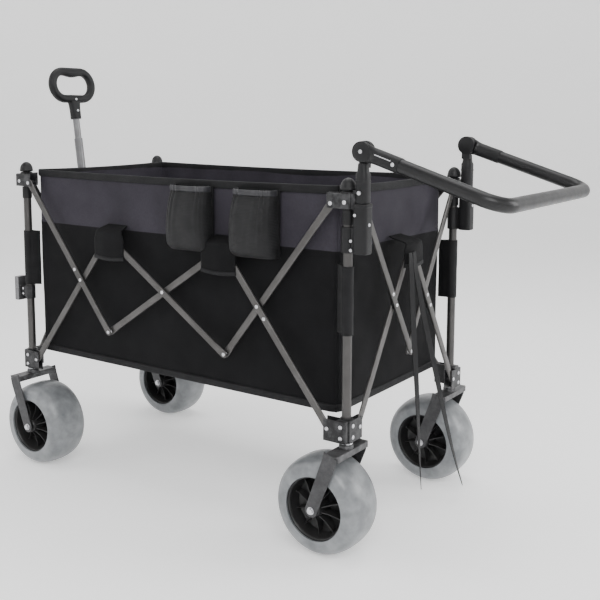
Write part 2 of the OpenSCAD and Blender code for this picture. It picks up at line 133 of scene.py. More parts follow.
# %% [markdown]
# ## Shared effects
# Weave, wear and dust are used by several materials. Each is a shader node group with named sockets
# that only puts out masks, so every material places it with its own scale and colours.

# %% Helpers for node groups
def new_group(name, ins, outs):
    """An empty shader group with named inputs and outputs."""
    tree = bpy.data.node_groups.new(name, "ShaderNodeTree")
    for label, kind, value in ins:
        sock = tree.interface.new_socket(label, in_out="INPUT", socket_type=kind)
        if value is not None:
            sock.default_value = value
    for label, kind in outs:
        tree.interface.new_socket(label, in_out="OUTPUT", socket_type=kind)
    return tree, tree.nodes.new("NodeGroupInput"), tree.nodes.new("NodeGroupOutput")


def math_node(tree, kind, a, b=None, clamp=False):
    """A sum or other operation on two values or sockets."""
    node = tree.nodes.new("ShaderNodeMath")
    node.operation = kind
    node.use_clamp = clamp
    for slot, value in enumerate((a, b)):
        if value is None:
            continue
        if isinstance(value, (int, float)):
            node.inputs[slot].default_value = value
        else:
            tree.links.new(value, node.inputs[slot])
    return node.outputs[0]


def sums_in(tree):
    """math_node for one tree, to keep the formulas short."""
    return functools.partial(math_node, tree)


def noise_node(tree, coords, scale, detail=3.0, rough=0.55):
    node = tree.nodes.new("ShaderNodeTexNoise")
    node.inputs["Detail"].default_value = detail
    node.inputs["Roughness"].default_value = rough
    tree.links.new(coords, node.inputs["Vector"])
    if isinstance(scale, (int, float)):
        node.inputs["Scale"].default_value = scale
    else:
        tree.links.new(scale, node.inputs["Scale"])
    return node.outputs["Fac"]


# %% Weave group: threads over and under, from two crossed waves
F, V = "NodeSocketFloat", "NodeSocketVector"
weave_group, gi, go = new_group("weave", [("Vector", V, None), ("Threads per metre", F, 1400.0)],
                                [("Height", F), ("Slub", F)])
calc = sums_in(weave_group)
sep = weave_group.nodes.new("ShaderNodeSeparateXYZ")
weave_group.links.new(gi.outputs["Vector"], sep.inputs[0])
turns = calc("MULTIPLY", gi.outputs["Threads per metre"], math.pi)
along = calc("ADD", sep.outputs["X"], sep.outputs["Y"])
warp = calc("ABSOLUTE", calc("SINE", calc("MULTIPLY", along, turns)))
weft = calc("ABSOLUTE", calc("SINE", calc("MULTIPLY", sep.outputs["Z"], turns)))
weave_group.links.new(calc("MULTIPLY", warp, weft), go.inputs["Height"])
weave_group.links.new(noise_node(weave_group, gi.outputs["Vector"], 220.0, 4.0), go.inputs["Slub"])

# %% Wear group: rubbed edges and corners
wear_group, gi, go = new_group("edge_wear", [("Vector", V, None), ("Amount", F, 0.5), ("Grain", F, 60.0)],
                               [("Mask", F)])
calc = sums_in(wear_group)
geo = wear_group.nodes.new("ShaderNodeNewGeometry")
edge = calc("MULTIPLY", calc("SUBTRACT", geo.outputs["Pointiness"], 0.52), 14.0, True)
rub = noise_node(wear_group, gi.outputs["Vector"], gi.outputs["Grain"], 5.0, 0.7)
rub = calc("MULTIPLY", calc("SUBTRACT", rub, 0.42), 5.0, True)
worn = calc("MULTIPLY", calc("MULTIPLY", edge, rub), gi.outputs["Amount"], True)
wear_group.links.new(worn, go.inputs["Mask"])

# %% Dust group: a faint film that gathers low and on faces that look up
dust_group, gi, go = new_group("dust", [("Vector", V, None), ("Amount", F, 0.3), ("Height", F, 0.3)],
                               [("Mask", F)])
calc = sums_in(dust_group)
geo = dust_group.nodes.new("ShaderNodeNewGeometry")
up = dust_group.nodes.new("ShaderNodeSeparateXYZ")
dust_group.links.new(geo.outputs["Normal"], up.inputs[0])
where = dust_group.nodes.new("ShaderNodeSeparateXYZ")
dust_group.links.new(gi.outputs["Vector"], where.inputs[0])
low = calc("SUBTRACT", 1.0, calc("DIVIDE", where.outputs["Z"], gi.outputs["Height"]), True)
lying = calc("MULTIPLY", up.outputs["Z"], 0.6, True)
film = calc("ADD", calc("MULTIPLY", low, 0.5), lying, True)
specks = noise_node(dust_group, gi.outputs["Vector"], 35.0, 6.0, 0.65)
film = calc("MULTIPLY", calc("MULTIPLY", film, specks), gi.outputs["Amount"], True)
dust_group.links.new(film, go.inputs["Mask"])
print("shared groups:", [g.name for g in bpy.data.node_groups])

# %% [markdown]
# ## Materials
# Each finish is one short function call: a base colour that varies, a roughness that varies, and a
# bump at the real scale of the thread, enamel or moulded skin. Constant values such as sheen sit on
# the Principled shader's own sockets.

# %% Material helper
def material(name, colour, second, rough, patch=18.0, bump=None, bump_scale=300.0, wear=0.0,
             worn=(0.35, 0.35, 0.36), dust=0.25, weave=0.0, threads=1400.0, metal=0.0, sheen=0.0,
             coat=0.0, split=None, spec=0.5):
    """A finished surface. split is (height, colour, second) for cloth that changes colour at a seam."""
    mat = bpy.data.materials.new(name)
    mat.use_nodes = True
    tree = mat.node_tree
    calc = sums_in(tree)
    shader = tree.nodes["Principled BSDF"]
    coords = tree.nodes.new("ShaderNodeTexCoord").outputs["Object"]
    blotch = noise_node(tree, coords, patch, 5.0)

    def mix(fac, a, b):
        node = tree.nodes.new("ShaderNodeMix")
        node.data_type = "RGBA"
        for value, slot in ((fac, 0), (a, 6), (b, 7)):
            if isinstance(value, (tuple, list)):
                node.inputs[slot].default_value = (*value, 1)
            elif isinstance(value, (int, float)):
                node.inputs[slot].default_value = value
            else:
                tree.links.new(value, node.inputs[slot])
        return node.outputs[2]

    def grouped(group, **values):
        node = tree.nodes.new("ShaderNodeGroup")
        node.node_tree = group
        tree.links.new(coords, node.inputs["Vector"])
        for key, value in values.items():
            node.inputs[key.replace("_", " ")].default_value = value
        return node

    spread = calc("MULTIPLY", calc("SUBTRACT", blotch, 0.35), 3.0, True)
    base = mix(spread, colour, second)
    if split:
        axis = tree.nodes.new("ShaderNodeSeparateXYZ")
        tree.links.new(coords, axis.inputs[0])
        above = calc("GREATER_THAN", axis.outputs["Z"], split[0])
        base = mix(above, base, mix(spread, split[1], split[2]))
    height = None
    if weave:
        threads_node = grouped(weave_group, **{"Threads per metre": threads})
        height = threads_node.outputs["Height"]
        slub = calc("MULTIPLY", threads_node.outputs["Slub"], 0.35)
        base = mix(slub, base, (0.0, 0.0, 0.0))
    if wear:
        mask = grouped(wear_group, Amount=wear).outputs["Mask"]
        base = mix(mask, base, worn)
    if dust:
        film = grouped(dust_group, Amount=dust).outputs["Mask"]
        base = mix(film, base, (0.42, 0.40, 0.37))
    tree.links.new(base, shader.inputs["Base Color"])
    gloss = calc("ADD", calc("MULTIPLY", noise_node(tree, coords, patch * 3, 4.0), 0.22), rough - 0.1)
    tree.links.new(gloss, shader.inputs["Roughness"])
    bump_node = tree.nodes.new("ShaderNodeBump")
    bump_node.inputs["Strength"].default_value = weave or bump or 0.1
    bump_node.inputs["Distance"].default_value = 0.0006
    if height is None:
        height = noise_node(tree, coords, bump_scale, 4.0)
    tree.links.new(height, bump_node.inputs["Height"])
    tree.links.new(bump_node.outputs["Normal"], shader.inputs["Normal"])
    shader.inputs["Metallic"].default_value = metal
    shader.inputs["Specular IOR Level"].default_value = spec
    shader.inputs["Sheen Weight"].default_value = sheen
    shader.inputs["Sheen Roughness"].default_value = 0.4
    shader.inputs["Coat Weight"].default_value = coat
    shader.inputs["Coat Roughness"].default_value = 0.2
    return mat


# %% The wagon's finishes
BAND_Z = 0.612
BLACK_CLOTH = ((0.0030, 0.0030, 0.0036), (0.0055, 0.0055, 0.0064))
GREY_CLOTH = ((0.031, 0.028, 0.036), (0.046, 0.042, 0.053))
tub_cloth = material("tub_cloth", *BLACK_CLOTH, 0.72, patch=9, weave=0.35, threads=1100, sheen=0.02,
                     split=(BAND_Z, *GREY_CLOTH), dust=0.01, spec=0.12)
black_cloth = material("black_cloth", *BLACK_CLOTH, 0.72, patch=9, weave=0.35, threads=1100, sheen=0.02,
                       dust=0.01, spec=0.12)
binding_cloth = material("binding_cloth", (0.005, 0.005, 0.006), (0.010, 0.010, 0.011), 0.62, weave=0.5,
                         threads=700, sheen=0.03, dust=0.01, spec=0.2)
webbing_cloth = material("webbing_cloth", (0.006, 0.006, 0.007), (0.011, 0.011, 0.012), 0.6, weave=0.7,
                         threads=520, sheen=0.03, dust=0.02, spec=0.25)
mat_cloth = material("mat_cloth", (0.008, 0.008, 0.009), (0.014, 0.014, 0.015), 0.75, weave=0.4,
                     threads=900, sheen=0.04, dust=0.02, spec=0.2)
mesh_cloth = material("mesh_cloth", (0.0042, 0.0042, 0.0048), (0.0105, 0.0105, 0.0115), 0.5, patch=30,
                      weave=1.0,
                      threads=330, sheen=0.03, dust=0.01, spec=0.25)
hem_satin = material("hem_satin", (0.018, 0.018, 0.021), (0.042, 0.042, 0.047), 0.34, weave=0.2,
                     threads=800, sheen=0.05, dust=0.01, spec=0.4)
frame_enamel = material("frame_enamel", (0.009, 0.009, 0.010), (0.013, 0.013, 0.014), 0.36, bump=0.12,
                        bump_scale=900, wear=0.15, dust=0.02, spec=0.25)
post_steel = material("post_steel", (0.058, 0.056, 0.055), (0.080, 0.077, 0.075), 0.32, bump=0.1,
                      bump_scale=900, wear=0.2, worn=(0.3, 0.3, 0.31), dust=0.03, metal=0.75)
strut_enamel = material("strut_enamel", (0.070, 0.067, 0.065), (0.100, 0.096, 0.094), 0.34, bump=0.1,
                        bump_scale=900, wear=0.3, worn=(0.4, 0.4, 0.41), dust=0.03, metal=0.7)
fork_enamel = material("fork_enamel", (0.032, 0.032, 0.034), (0.046, 0.046, 0.048), 0.38, bump=0.15,
                       bump_scale=700, wear=0.3, worn=(0.3, 0.3, 0.31), dust=0.05, metal=0.55)
zinc = material("zinc", (0.62, 0.62, 0.64), (0.50, 0.50, 0.52), 0.28, bump=0.12, bump_scale=1200,
                dust=0.05, metal=1.0)
black_plastic = material("black_plastic", (0.0075, 0.0075, 0.0080), (0.011, 0.011, 0.012), 0.42,
                         bump=0.3, bump_scale=2400, wear=0.1, worn=(0.05, 0.05, 0.05), dust=0.02,
                         spec=0.22)
rim_plastic = material("rim_plastic", (0.0065, 0.0065, 0.0072), (0.010, 0.010, 0.011), 0.40, bump=0.25,
                       bump_scale=1500, wear=0.1, worn=(0.05, 0.05, 0.05), dust=0.05, spec=0.4)
bar_coat = material("bar_coat", (0.0075, 0.0075, 0.0080), (0.0115, 0.0115, 0.012), 0.34, bump=0.1,
                    bump_scale=1400, wear=0.05, worn=(0.08, 0.08, 0.08), dust=0.01, spec=0.32)
handle_enamel = material("handle_enamel", (0.13, 0.13, 0.135), (0.17, 0.17, 0.175), 0.34, bump=0.1,
                         bump_scale=900, wear=0.2, worn=(0.4, 0.4, 0.4), dust=0.03, metal=0.7)
tyre_pvc = material("tyre_pvc", (0.115, 0.123, 0.131), (0.205, 0.216, 0.225), 0.36, patch=34, bump=0.45,
                    bump_scale=160, dust=0.10, coat=0.2)
floor_paint = material("floor_paint", (0.90, 0.90, 0.90), (0.92, 0.92, 0.92), 0.7, patch=2, dust=0,
                       spec=0.2)
floor_glow = floor_paint.node_tree.nodes["Principled BSDF"]
floor_glow.inputs["Emission Color"].default_value = (1, 1, 1, 1)
floor_glow.inputs["Emission Strength"].default_value = 0.38
floor.data.materials.append(floor_paint)
print(len(bpy.data.materials), "materials")

# %% [markdown]
# ## Making pieces
# Most pieces are swept or lofted in mesh code. These helpers build them at their final place, link
# them and give them to a body, so that each object stays at the origin.

# %% Piece helpers
def piece(name, mesh_or_bm, mats, body, replaces=(), smooth=40, bevel=0.0, thick=0.0):
    """Turns a bmesh or mesh into a finished piece that rides on a body."""
    if isinstance(mesh_or_bm, bmesh.types.BMesh):
        mesh = bpy.data.meshes.new(name)
        mesh_or_bm.to_mesh(mesh)
        mesh_or_bm.free()
    else:
        mesh = mesh_or_bm
    obj = bpy.data.objects.new(name, mesh)
    scene.collection.objects.link(obj)
    for mat in (mats if isinstance(mats, (list, tuple)) else [mats]):
        if mat.name not in mesh.materials:
            mesh.materials.append(mat)
    if thick:
        shell = obj.modifiers.new("thickness", "SOLIDIFY")
        shell.thickness = thick
        shell.offset = -1
    if bevel:
        edge = obj.modifiers.new("soft_edges", "BEVEL")
        edge.width = bevel
        edge.segments = 2
        edge.limit_method = "ANGLE"
        edge.angle_limit = math.radians(35)
    mesh.set_sharp_from_angle(angle=math.radians(smooth))
    for poly in mesh.polygons:
        poly.use_smooth = True
    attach(obj, body)
    if replaces:
        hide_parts(*replaces)
    return obj


def stack(centre, levels, count=48, deep=1.0):
    """Rings of a rounded column about an upright line: each level is (height, half width, roundness)."""
    return [[centre + Vector((x, y * deep, z)) for x, y in oval(half, half, count, power)]
            for z, half, power in levels]


def face_out(bm):
    """Turns every face outward."""
    bmesh.ops.recalc_face_normals(bm, faces=bm.faces)


def loft(bm, rings, closed=True, caps=True):
    """Joins rings of points into a tube wall, with a cap at each end."""
    rows = [[bm.verts.new(p) for p in ring] for ring in rings]
    count = len(rows[0])
    for a, b in zip(rows, rows[1:]):
        for i in range(count if closed else count - 1):
            k = (i + 1) % count
            bm.faces.new((a[i], a[k], b[k], b[i]))
    if caps:
        bm.faces.new(list(reversed(rows[0])))
        bm.faces.new(rows[-1])
    return rows


def lofted(rings):
    """A new closed shape through rings of points."""
    bm = bmesh.new()
    loft(bm, rings)
    face_out(bm)
    return bm


def grid_sheet(points, out):
    """A new sheet through rows of points, whose faces look out."""
    bm = bmesh.new()
    grid = [[bm.verts.new(p) for p in row] for row in points]
    for lower, upper in zip(grid, grid[1:]):
        for c in range(len(lower) - 1):
            bm.faces.new((lower[c], lower[c + 1], upper[c + 1], upper[c]))
    face_out(bm)
    middle = grid[len(grid) // 2][len(grid[0]) // 2]
    if middle.normal.dot(out) < 0:
        bmesh.ops.reverse_faces(bm, faces=bm.faces)
    return bm


def frame_along(direction, up=UP):
    """Two unit vectors square to a direction."""
    side = direction.cross(up)
    if side.length < 1e-6:
        side = direction.cross(Vector((0, 1, 0)))
    side.normalize()
    return side, side.cross(direction).normalized()


def sweep(bm, path, outline, up=UP, closed=False):
    """Sweeps an outline of (side, up) points along a path. outline may be a function of the share of
    the way along."""
    rings = []
    count = len(path)
    for i, point in enumerate(path):
        before = path[(i - 1) % count] if closed or i else point
        after = path[(i + 1) % count] if closed or i < count - 1 else point
        side, top = frame_along((after - before).normalized(), up)
        shape = outline(i / (count - 1)) if callable(outline) else outline
        rings.append([point + side * a + top * b for a, b in shape])
    if closed:
        rings.append(rings[0])
        loft(bm, rings, caps=False)
        bmesh.ops.remove_doubles(bm, verts=bm.verts, dist=1e-7)
    else:
        loft(bm, rings)
    face_out(bm)


def oval(a, b, count=24, power=1.0):
    """Points of an oval, or of a rounded oblong where power is under 1."""
    return [(a * math.copysign(abs(math.cos(t)) ** power, math.cos(t)),
             b * math.copysign(abs(math.sin(t)) ** power, math.sin(t)))
            for t in (2 * math.pi * k / count for k in range(count))]


def lathe(bm, centre, axis, profile, count=48, closed=False):
    """Turns (distance along the axis, radius) points about an axis through centre."""
    side, top = frame_along(axis, UP if abs(axis.z) < 0.9 else Vector((0, 1, 0)))
    rings = [[centre + axis * d + (side * math.cos(t) + top * math.sin(t)) * r
              for t in (2 * math.pi * k / count for k in range(count))] for d, r in profile]
    if closed:
        rings.append(rings[0])
    loft(bm, rings, caps=not closed)
    bmesh.ops.remove_doubles(bm, verts=bm.verts, dist=1e-7)
    face_out(bm)


def turned(centre, axis, profile, count=48):
    """A new shape turned about an axis."""
    bm = bmesh.new()
    lathe(bm, centre, axis, profile, count)
    return bm


def block(bm, low, high):
    """An upright box between two corners."""
    made = bmesh.ops.create_cube(bm, size=1)["verts"]
    for v in made:
        v.co = Vector([(lo + hi) / 2 + c * (hi - lo) for lo, hi, c in zip(low, high, v.co)])


def dressed(node, mat, body, bevel=0.0008):
    """A CAD part's own shape with its edges merged and softened."""
    bm = bmesh.new()
    bm.from_mesh(frame["nodes"][node].data)
    bmesh.ops.remove_doubles(bm, verts=bm.verts, dist=2e-6)
    bmesh.ops.dissolve_limit(bm, angle_limit=math.radians(2), verts=bm.verts, edges=bm.edges)
    return piece(node + "_shaped", bm, mat, body, [node], smooth=32, bevel=bevel)

# %% [markdown]
# ## Rivets
# Domed rivet heads sit at every strut joint. They are one small shape placed many times, so a
# Geometry Nodes tree sets a head on each point and turns it to face the way the point says.

# %% Rivet tree
def geo_tree(name, ins):
    """An empty Geometry Nodes tree with named inputs."""
    tree = bpy.data.node_groups.new(name, "GeometryNodeTree")
    tree.interface.new_socket("Geometry", in_out="INPUT", socket_type="NodeSocketGeometry")
    for label, kind, value in ins:
        sock = tree.interface.new_socket(label, in_out="INPUT", socket_type=kind)
        if value is not None:
            sock.default_value = value
    tree.interface.new_socket("Geometry", in_out="OUTPUT", socket_type="NodeSocketGeometry")
    return tree, tree.nodes.new("NodeGroupInput"), tree.nodes.new("NodeGroupOutput")


def link_chain(tree, *steps):
    """Links each node's first output to the next node's first input."""
    for a, b in zip(steps, steps[1:]):
        tree.links.new(a.outputs[0], b.inputs[0])


rivet_tree, gi, go = geo_tree("rivet_heads", [("Radius", F, 0.005), ("Height", F, 0.0022),
                                              ("Material", "NodeSocketMaterial", None)])
ball = rivet_tree.nodes.new("GeometryNodeMeshUVSphere")
ball.inputs["Segments"].default_value = 16
ball.inputs["Rings"].default_value = 8
ball.inputs["Radius"].default_value = 1.0
squash_size = rivet_tree.nodes.new("ShaderNodeCombineXYZ")
for slot_name, source in (("X", "Radius"), ("Y", "Radius"), ("Z", "Height")):
    rivet_tree.links.new(gi.outputs[source], squash_size.inputs[slot_name])
shape = rivet_tree.nodes.new("GeometryNodeTransform")
rivet_tree.links.new(ball.outputs["Mesh"], shape.inputs["Geometry"])
rivet_tree.links.new(squash_size.outputs[0], shape.inputs["Scale"])
aim = rivet_tree.nodes.new("GeometryNodeInputNamedAttribute")
aim.data_type = "FLOAT_VECTOR"
aim.inputs["Name"].default_value = "aim"
turn = rivet_tree.nodes.new("FunctionNodeAlignRotationToVector")
turn.axis = "Z"
rivet_tree.links.new(aim.outputs["Attribute"], turn.inputs["Vector"])
place = rivet_tree.nodes.new("GeometryNodeInstanceOnPoints")
rivet_tree.links.new(gi.outputs["Geometry"], place.inputs["Points"])
rivet_tree.links.new(shape.outputs[0], place.inputs["Instance"])
rivet_tree.links.new(turn.outputs[0], place.inputs["Rotation"])
real = rivet_tree.nodes.new("GeometryNodeRealizeInstances")
paint = rivet_tree.nodes.new("GeometryNodeSetMaterial")
rivet_tree.links.new(gi.outputs["Material"], paint.inputs["Material"])
link_chain(rivet_tree, place, real, paint, go)


def run_tree(tree, mesh, **values):
    """Runs a Geometry Nodes tree on a mesh and gives back a plain mesh."""
    host = bpy.data.objects.new("host", mesh)
    scene.collection.objects.link(host)
    mod = host.modifiers.new("nodes", "NODES")
    mod.node_group = tree
    sockets = {s.name: s.identifier for s in tree.interface.items_tree
               if s.item_type == "SOCKET" and s.in_out == "INPUT"}
    for key, value in values.items():
        mod[sockets[key.replace("_", " ")]] = value
    bpy.context.view_layer.update()
    graph = bpy.context.evaluated_depsgraph_get()
    out = bpy.data.meshes.new_from_object(host.evaluated_get(graph), depsgraph=graph)
    host.modifiers.remove(mod)
    bpy.data.objects.remove(host)
    return out


def rivets(name, places, body, radius=0.005, height=0.0022, mat=None):
    """Rivet heads at (point, way) pairs, all on one body."""
    mesh = bpy.data.meshes.new(name)
    mesh.from_pydata([p for p, _ in places], [], [])
    data = mesh.attributes.new("aim", "FLOAT_VECTOR", "POINT")
    for k, (_, way) in enumerate(places):
        data.data[k].vector = way
    mat = mat or zinc
    made = run_tree(rivet_tree, mesh, Radius=radius, Height=height, Material=mat)
    return piece(name, made, mat, body, smooth=60)

# %% [markdown]
# ## Scissor struts
# Each strut is a flattened steel tube: rounded oblong in the middle, pressed flat at both ends where
# the rivets go. A loft through a few stations gives that shape. Struts cross in two layers.

# %% Where the struts run
low_z = joint_at["near_rear_foot"].z
high_z = joint_at["near_rear_head"].z
mid_z = (low_z + high_z) / 2
INNER, OUTER = 0.010, 0.0175


def side_ends(side, n):
    """Ends of side strut n at the post plane, and its layer."""
    j = {k: joint_at[side + "_" + k] for k in ("front_head", "front_foot", "rear_head", "rear_foot",
                                               "low_front", "low_rear")}
    top_front, top_rear = (Vector((j[k].x, j[k].y, 2 * mid_z - j[k].z))
                           for k in ("low_front", "low_rear"))
    ends = {1: (j["front_head"], j["low_front"]), 2: (j["front_foot"], top_front),
            3: (top_front, j["low_rear"]), 4: (j["low_front"], top_rear),
            5: (j["rear_foot"], top_rear), 6: (j["rear_head"], j["low_rear"])}
    return ends[n], OUTER if n % 2 else INNER


def end_ends(end, n):
    """Ends of end strut n at the post plane, and its layer."""
    foot = joint_at["fold" if end == "rear" else "front_1_low"]
    low = joint_at[end + "_low"]
    high = Vector((low.x, 0, 2 * mid_z - low.z))
    y = foot.y
    corner = {(s, z): Vector((foot.x, s * abs(y), z)) for s in (-1, 1) for z in (low_z, high_z)}
    ends = {1: (corner[-1, low_z], high), 2: (corner[-1, high_z], low),
            3: (corner[1, high_z], low), 4: (corner[1, low_z], high)}
    return ends[n], INNER if n % 2 else OUTER


# %% Strut shape
def strut_mesh(a, b, out):
    """A flattened tube from a to b. out is the unit vector away from the wagon."""
    run = (b - a).normalized()
    across = run.cross(out).normalized()
    long = (b - a).length
    flat, full = 0.0021, 0.0031
    stations = [(-0.0080, 0.0016, flat), (-0.0066, 0.0048, flat), (-0.004, 0.0069, flat),
                (0, 0.0082, flat),
                (0.016, 0.0082, flat), (0.024, 0.0076, 0.0026), (0.034, 0.0074, full)]
    both = stations + [(long - d, w, t) for d, w, t in reversed(stations)]
    rings = []
    for d, w, t in both:
        core = a + run * d
        rings.append([core + across * x + out * y for x, y in oval(w, t, 20, 0.45)])
    return lofted(rings)


strut_lines = {}
for side, count, finder in (("near", 6, side_ends), ("far", 6, side_ends), ("rear", 4, end_ends),
                            ("front", 4, end_ends)):
    out = OUTWARD[side]
    for n in range(1, count + 1):
        (a, b), depth = finder(side, n)
        node = f"{side}_strut_{n}"
        a, b = a + out * depth, b + out * depth
        strut_lines[node] = (a, b, out)
        piece(node + "_tube", strut_mesh(a, b, out), strut_enamel, node, [node], smooth=50)
print(len(strut_lines), "struts")

# %% [markdown]
# Every joint gets a rivet head outside. The off-centre crossings also have a black spacer block
# between the layers and a second rivet, as the real ones do.

# %% Rivets and spacer blocks on the struts
def crossing(one, two):
    """Where two struts of a side cross, on the first one's line."""
    (a, b, out), (c, d, _) = strut_lines[one], strut_lines[two]
    r, s = b - a, d - c
    return a + r * ((c - a).cross(s).dot(out) / r.cross(s).dot(out))


HEAD = 0.0034
for side in ("near", "far", "rear", "front"):
    pairs = [(1, 2), (3, 4), (5, 6)] if side in ("near", "far") else [(2, 1), (4, 3)]
    for outer, inner in pairs:
        one, two = f"{side}_strut_{outer}", f"{side}_strut_{inner}"
        a, b, out = strut_lines[one]
        run = (b - a).normalized()
        hub = crossing(one, two)
        spots = [a, b, hub]
        if (outer, inner) != (3, 4):
            spots.append(hub + run * (0.03 if (hub - a).length < (b - a).length / 2 else -0.03))
            long = run * 0.024
            wide = run.cross(out).normalized() * 0.0092
            centre = hub - out * 0.0037 + (spots[-1] - hub) / 2
            rings = [[centre + long * x + wide * y + out * t for x, y in oval(1, 1, 20, 0.4)]
                     for t in (-0.0007, 0.0007)]
            piece(one + "_spacer", lofted(rings), black_plastic, one)
        rivets(one + "_rivets",
               [(p + out * (0.0018 if k < 2 else HEAD - 0.0006), out) for k, p in enumerate(spots)], one,
               0.0044)
        a, b, out = strut_lines[two]
        rivets(two + "_rivets", [(a + out * 0.0018, out), (b + out * 0.0018, out)], two)

# %% [markdown]
# ## Posts, brackets and caps
# The lower posts are enamelled steel tube with stamped corner brackets. Each upper post slides in
# from above and ends in a moulded cap. The CAD shapes already hold the exact joints, so they are
# dressed with soft edges here and given the rivets that hold the brackets.

# %% Dress posts and heads
def two_tone(obj, second, test):
    """Gives the faces that pass a test the second material."""
    obj.data.materials.append(second)
    for poly in obj.data.polygons:
        if test(poly.center):
            poly.material_index = len(obj.data.materials) - 1


def corner(q):
    """Signs toward the rear and the far side of a corner."""
    return (1 if q.endswith("rear") else -1), (1 if q.startswith("far") else -1)


HOUSING = ((0.7005, 0.0112, 0.6), (0.7020, 0.0126, 0.55), (0.7040, 0.0132, 0.5),
           (0.7300, 0.0132, 0.5), (0.7335, 0.0126, 0.6), (0.7350, 0.0118, 0.8))
CAP_Z = 0.736
CAP = ((0, 0.0110), (0.0006, 0.0150), (0.0014, 0.0160), (0.0042, 0.0164), (0.0050, 0.0156),
       (0.0090, 0.0152),
       (0.0140, 0.0138), (0.0185, 0.0110), (0.0215, 0.0076), (0.0232, 0.0036), (0.0238, 0.0004))
COLLAR_LOW, TUBE_LOW = 0.6695, 0.286
for q in CORNERS:
    sx, sy = corner(q)
    axis = post_at[q]
    post = dressed("post_" + q, frame_enamel, "post_" + q)
    two_tone(post, black_plastic, lambda c: c.z > COLLAR_LOW)
    two_tone(post, post_steel, lambda c: TUBE_LOW < c.z < COLLAR_LOW)
    dressed("head_" + q, frame_enamel, "head_" + q)
    piece("head_housing_" + q, lofted(stack(axis, HOUSING, 40)), black_plastic, "head_" + q,
          smooth=50)
    cap = turned(axis + Vector((0, 0, CAP_Z)), UP, CAP, 40)
    piece("cap_" + q, cap, black_plastic, "head_" + q)
    side, end = Vector((0, sy, 0)), Vector((sx, 0, 0))
    for level, z0, z1, pivot_z, body, reach in (("foot", 0.2375, 0.2825, low_z, "post_" + q, 0.0125),
                                                ("head", 0.7010, 0.7310, high_z, "head_" + q, 0.0132)):
        on_outer = {"foot": (sx > 0, sy > 0), "head": (sx < 0, sy < 0)}[level]
        shell = bmesh.new()
        heads = []
        for out, back, pivot_in, outer in ((side, -end, 0.032, on_outer[0]),
                                           (end, -side, 0.027, on_outer[1])):
            depth = 0.0212 if outer else 0.0137
            inboard, outboard = pivot_in + 0.0085, -0.0125
            mid = (z0 + z1) / 2
            for length_a, length_b, depth_a, depth_b in ((inboard, outboard, depth, depth + 0.0018),
                                                         (0.0125, outboard, 0.0, depth + 0.0004)):
                spots = [axis + back * a + out * d for a in (length_a, length_b)
                         for d in (depth_a, depth_b)]
                lows = [min(p.x for p in spots), min(p.y for p in spots), z0]
                highs = [max(p.x for p in spots), max(p.y for p in spots), z1]
                block(shell, lows, highs)
            heads.append((axis + back * pivot_in + out * (depth + 0.0018) + Vector((0, 0, pivot_z)), out))
            for dz in ((0.010, 0.033) if level == "foot" else (0.0125,)):
                heads.append((axis + out * (depth + 0.0018) + Vector((0, 0, z0 + dz)), out))
        face_out(shell)
        piece(f"{level}_bracket_{q}", shell, frame_enamel, body, smooth=40, bevel=0.0009)
        rivets(f"{level}_rivets_{q}", heads, body, 0.0046, 0.0024)
print("posts and heads dressed")

# %% [markdown]
# ## Casters
# Two steel legs hang from a folded crown, and a bolt carries the wheel between them. The tyre is a
# soft PVC balloon; its fat round section is turned about the axle. The rim is a deep black dish with
# ribs, so one rib is repeated round the hub by a Geometry Nodes tree.

# %% Ring tree: repeats a shape around the wheel's axle
ring_tree, gi, go = geo_tree("ribs_around_hub", [("Count", "NodeSocketInt", 10), ("Hub", V, None),
                                                 ("Material", "NodeSocketMaterial", None)])
calc = sums_in(ring_tree)
circle = ring_tree.nodes.new("GeometryNodeMeshCircle")
circle.inputs["Radius"].default_value = 1.0
ring_tree.links.new(gi.outputs["Count"], circle.inputs["Vertices"])
index = ring_tree.nodes.new("GeometryNodeInputIndex")
share = calc("DIVIDE", index.outputs[0], gi.outputs["Count"])
angle = calc("MULTIPLY", share, 2 * math.pi)
spin = ring_tree.nodes.new("ShaderNodeCombineXYZ")
ring_tree.links.new(angle, spin.inputs["Y"])
here = ring_tree.nodes.new("GeometryNodeSetPosition")
ring_tree.links.new(circle.outputs["Mesh"], here.inputs["Geometry"])
ring_tree.links.new(gi.outputs["Hub"], here.inputs["Position"])
copies = ring_tree.nodes.new("GeometryNodeInstanceOnPoints")
ring_tree.links.new(here.outputs["Geometry"], copies.inputs["Points"])
ring_tree.links.new(gi.outputs["Geometry"], copies.inputs["Instance"])
ring_tree.links.new(spin.outputs[0], copies.inputs["Rotation"])
solid = ring_tree.nodes.new("GeometryNodeRealizeInstances")
tint = ring_tree.nodes.new("GeometryNodeSetMaterial")
ring_tree.links.new(gi.outputs["Material"], tint.inputs["Material"])
link_chain(ring_tree, copies, solid, tint, go)

# %% Wheels
AXLE = Vector((0, 1, 0))
tyre_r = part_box("tyre_near_rear")[1].z / 2
half_tyre = (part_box("tyre_near_rear")[1].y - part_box("tyre_near_rear")[0].y) / 2
rim_r = 0.0675


def tyre_profile(steps=40):
    """Half the balloon's outline, as (across, radius)."""
    deep = tyre_r - rim_r + 0.002
    shape = []
    for k in range(steps + 1):
        t = math.pi * (k / steps - 0.5)
        shape.append((half_tyre * math.copysign(abs(math.sin(t)) ** 0.78, t) * 0.995,
                      rim_r - 0.002 + deep * abs(math.cos(t)) ** 0.62))
    inner = 0.0655
    shape = [(-half_tyre * 0.80, inner)] + [(-half_tyre * 0.90, inner + 0.0008)] + shape
    return shape + [(half_tyre * 0.90, inner + 0.0008), (half_tyre * 0.80, inner)]


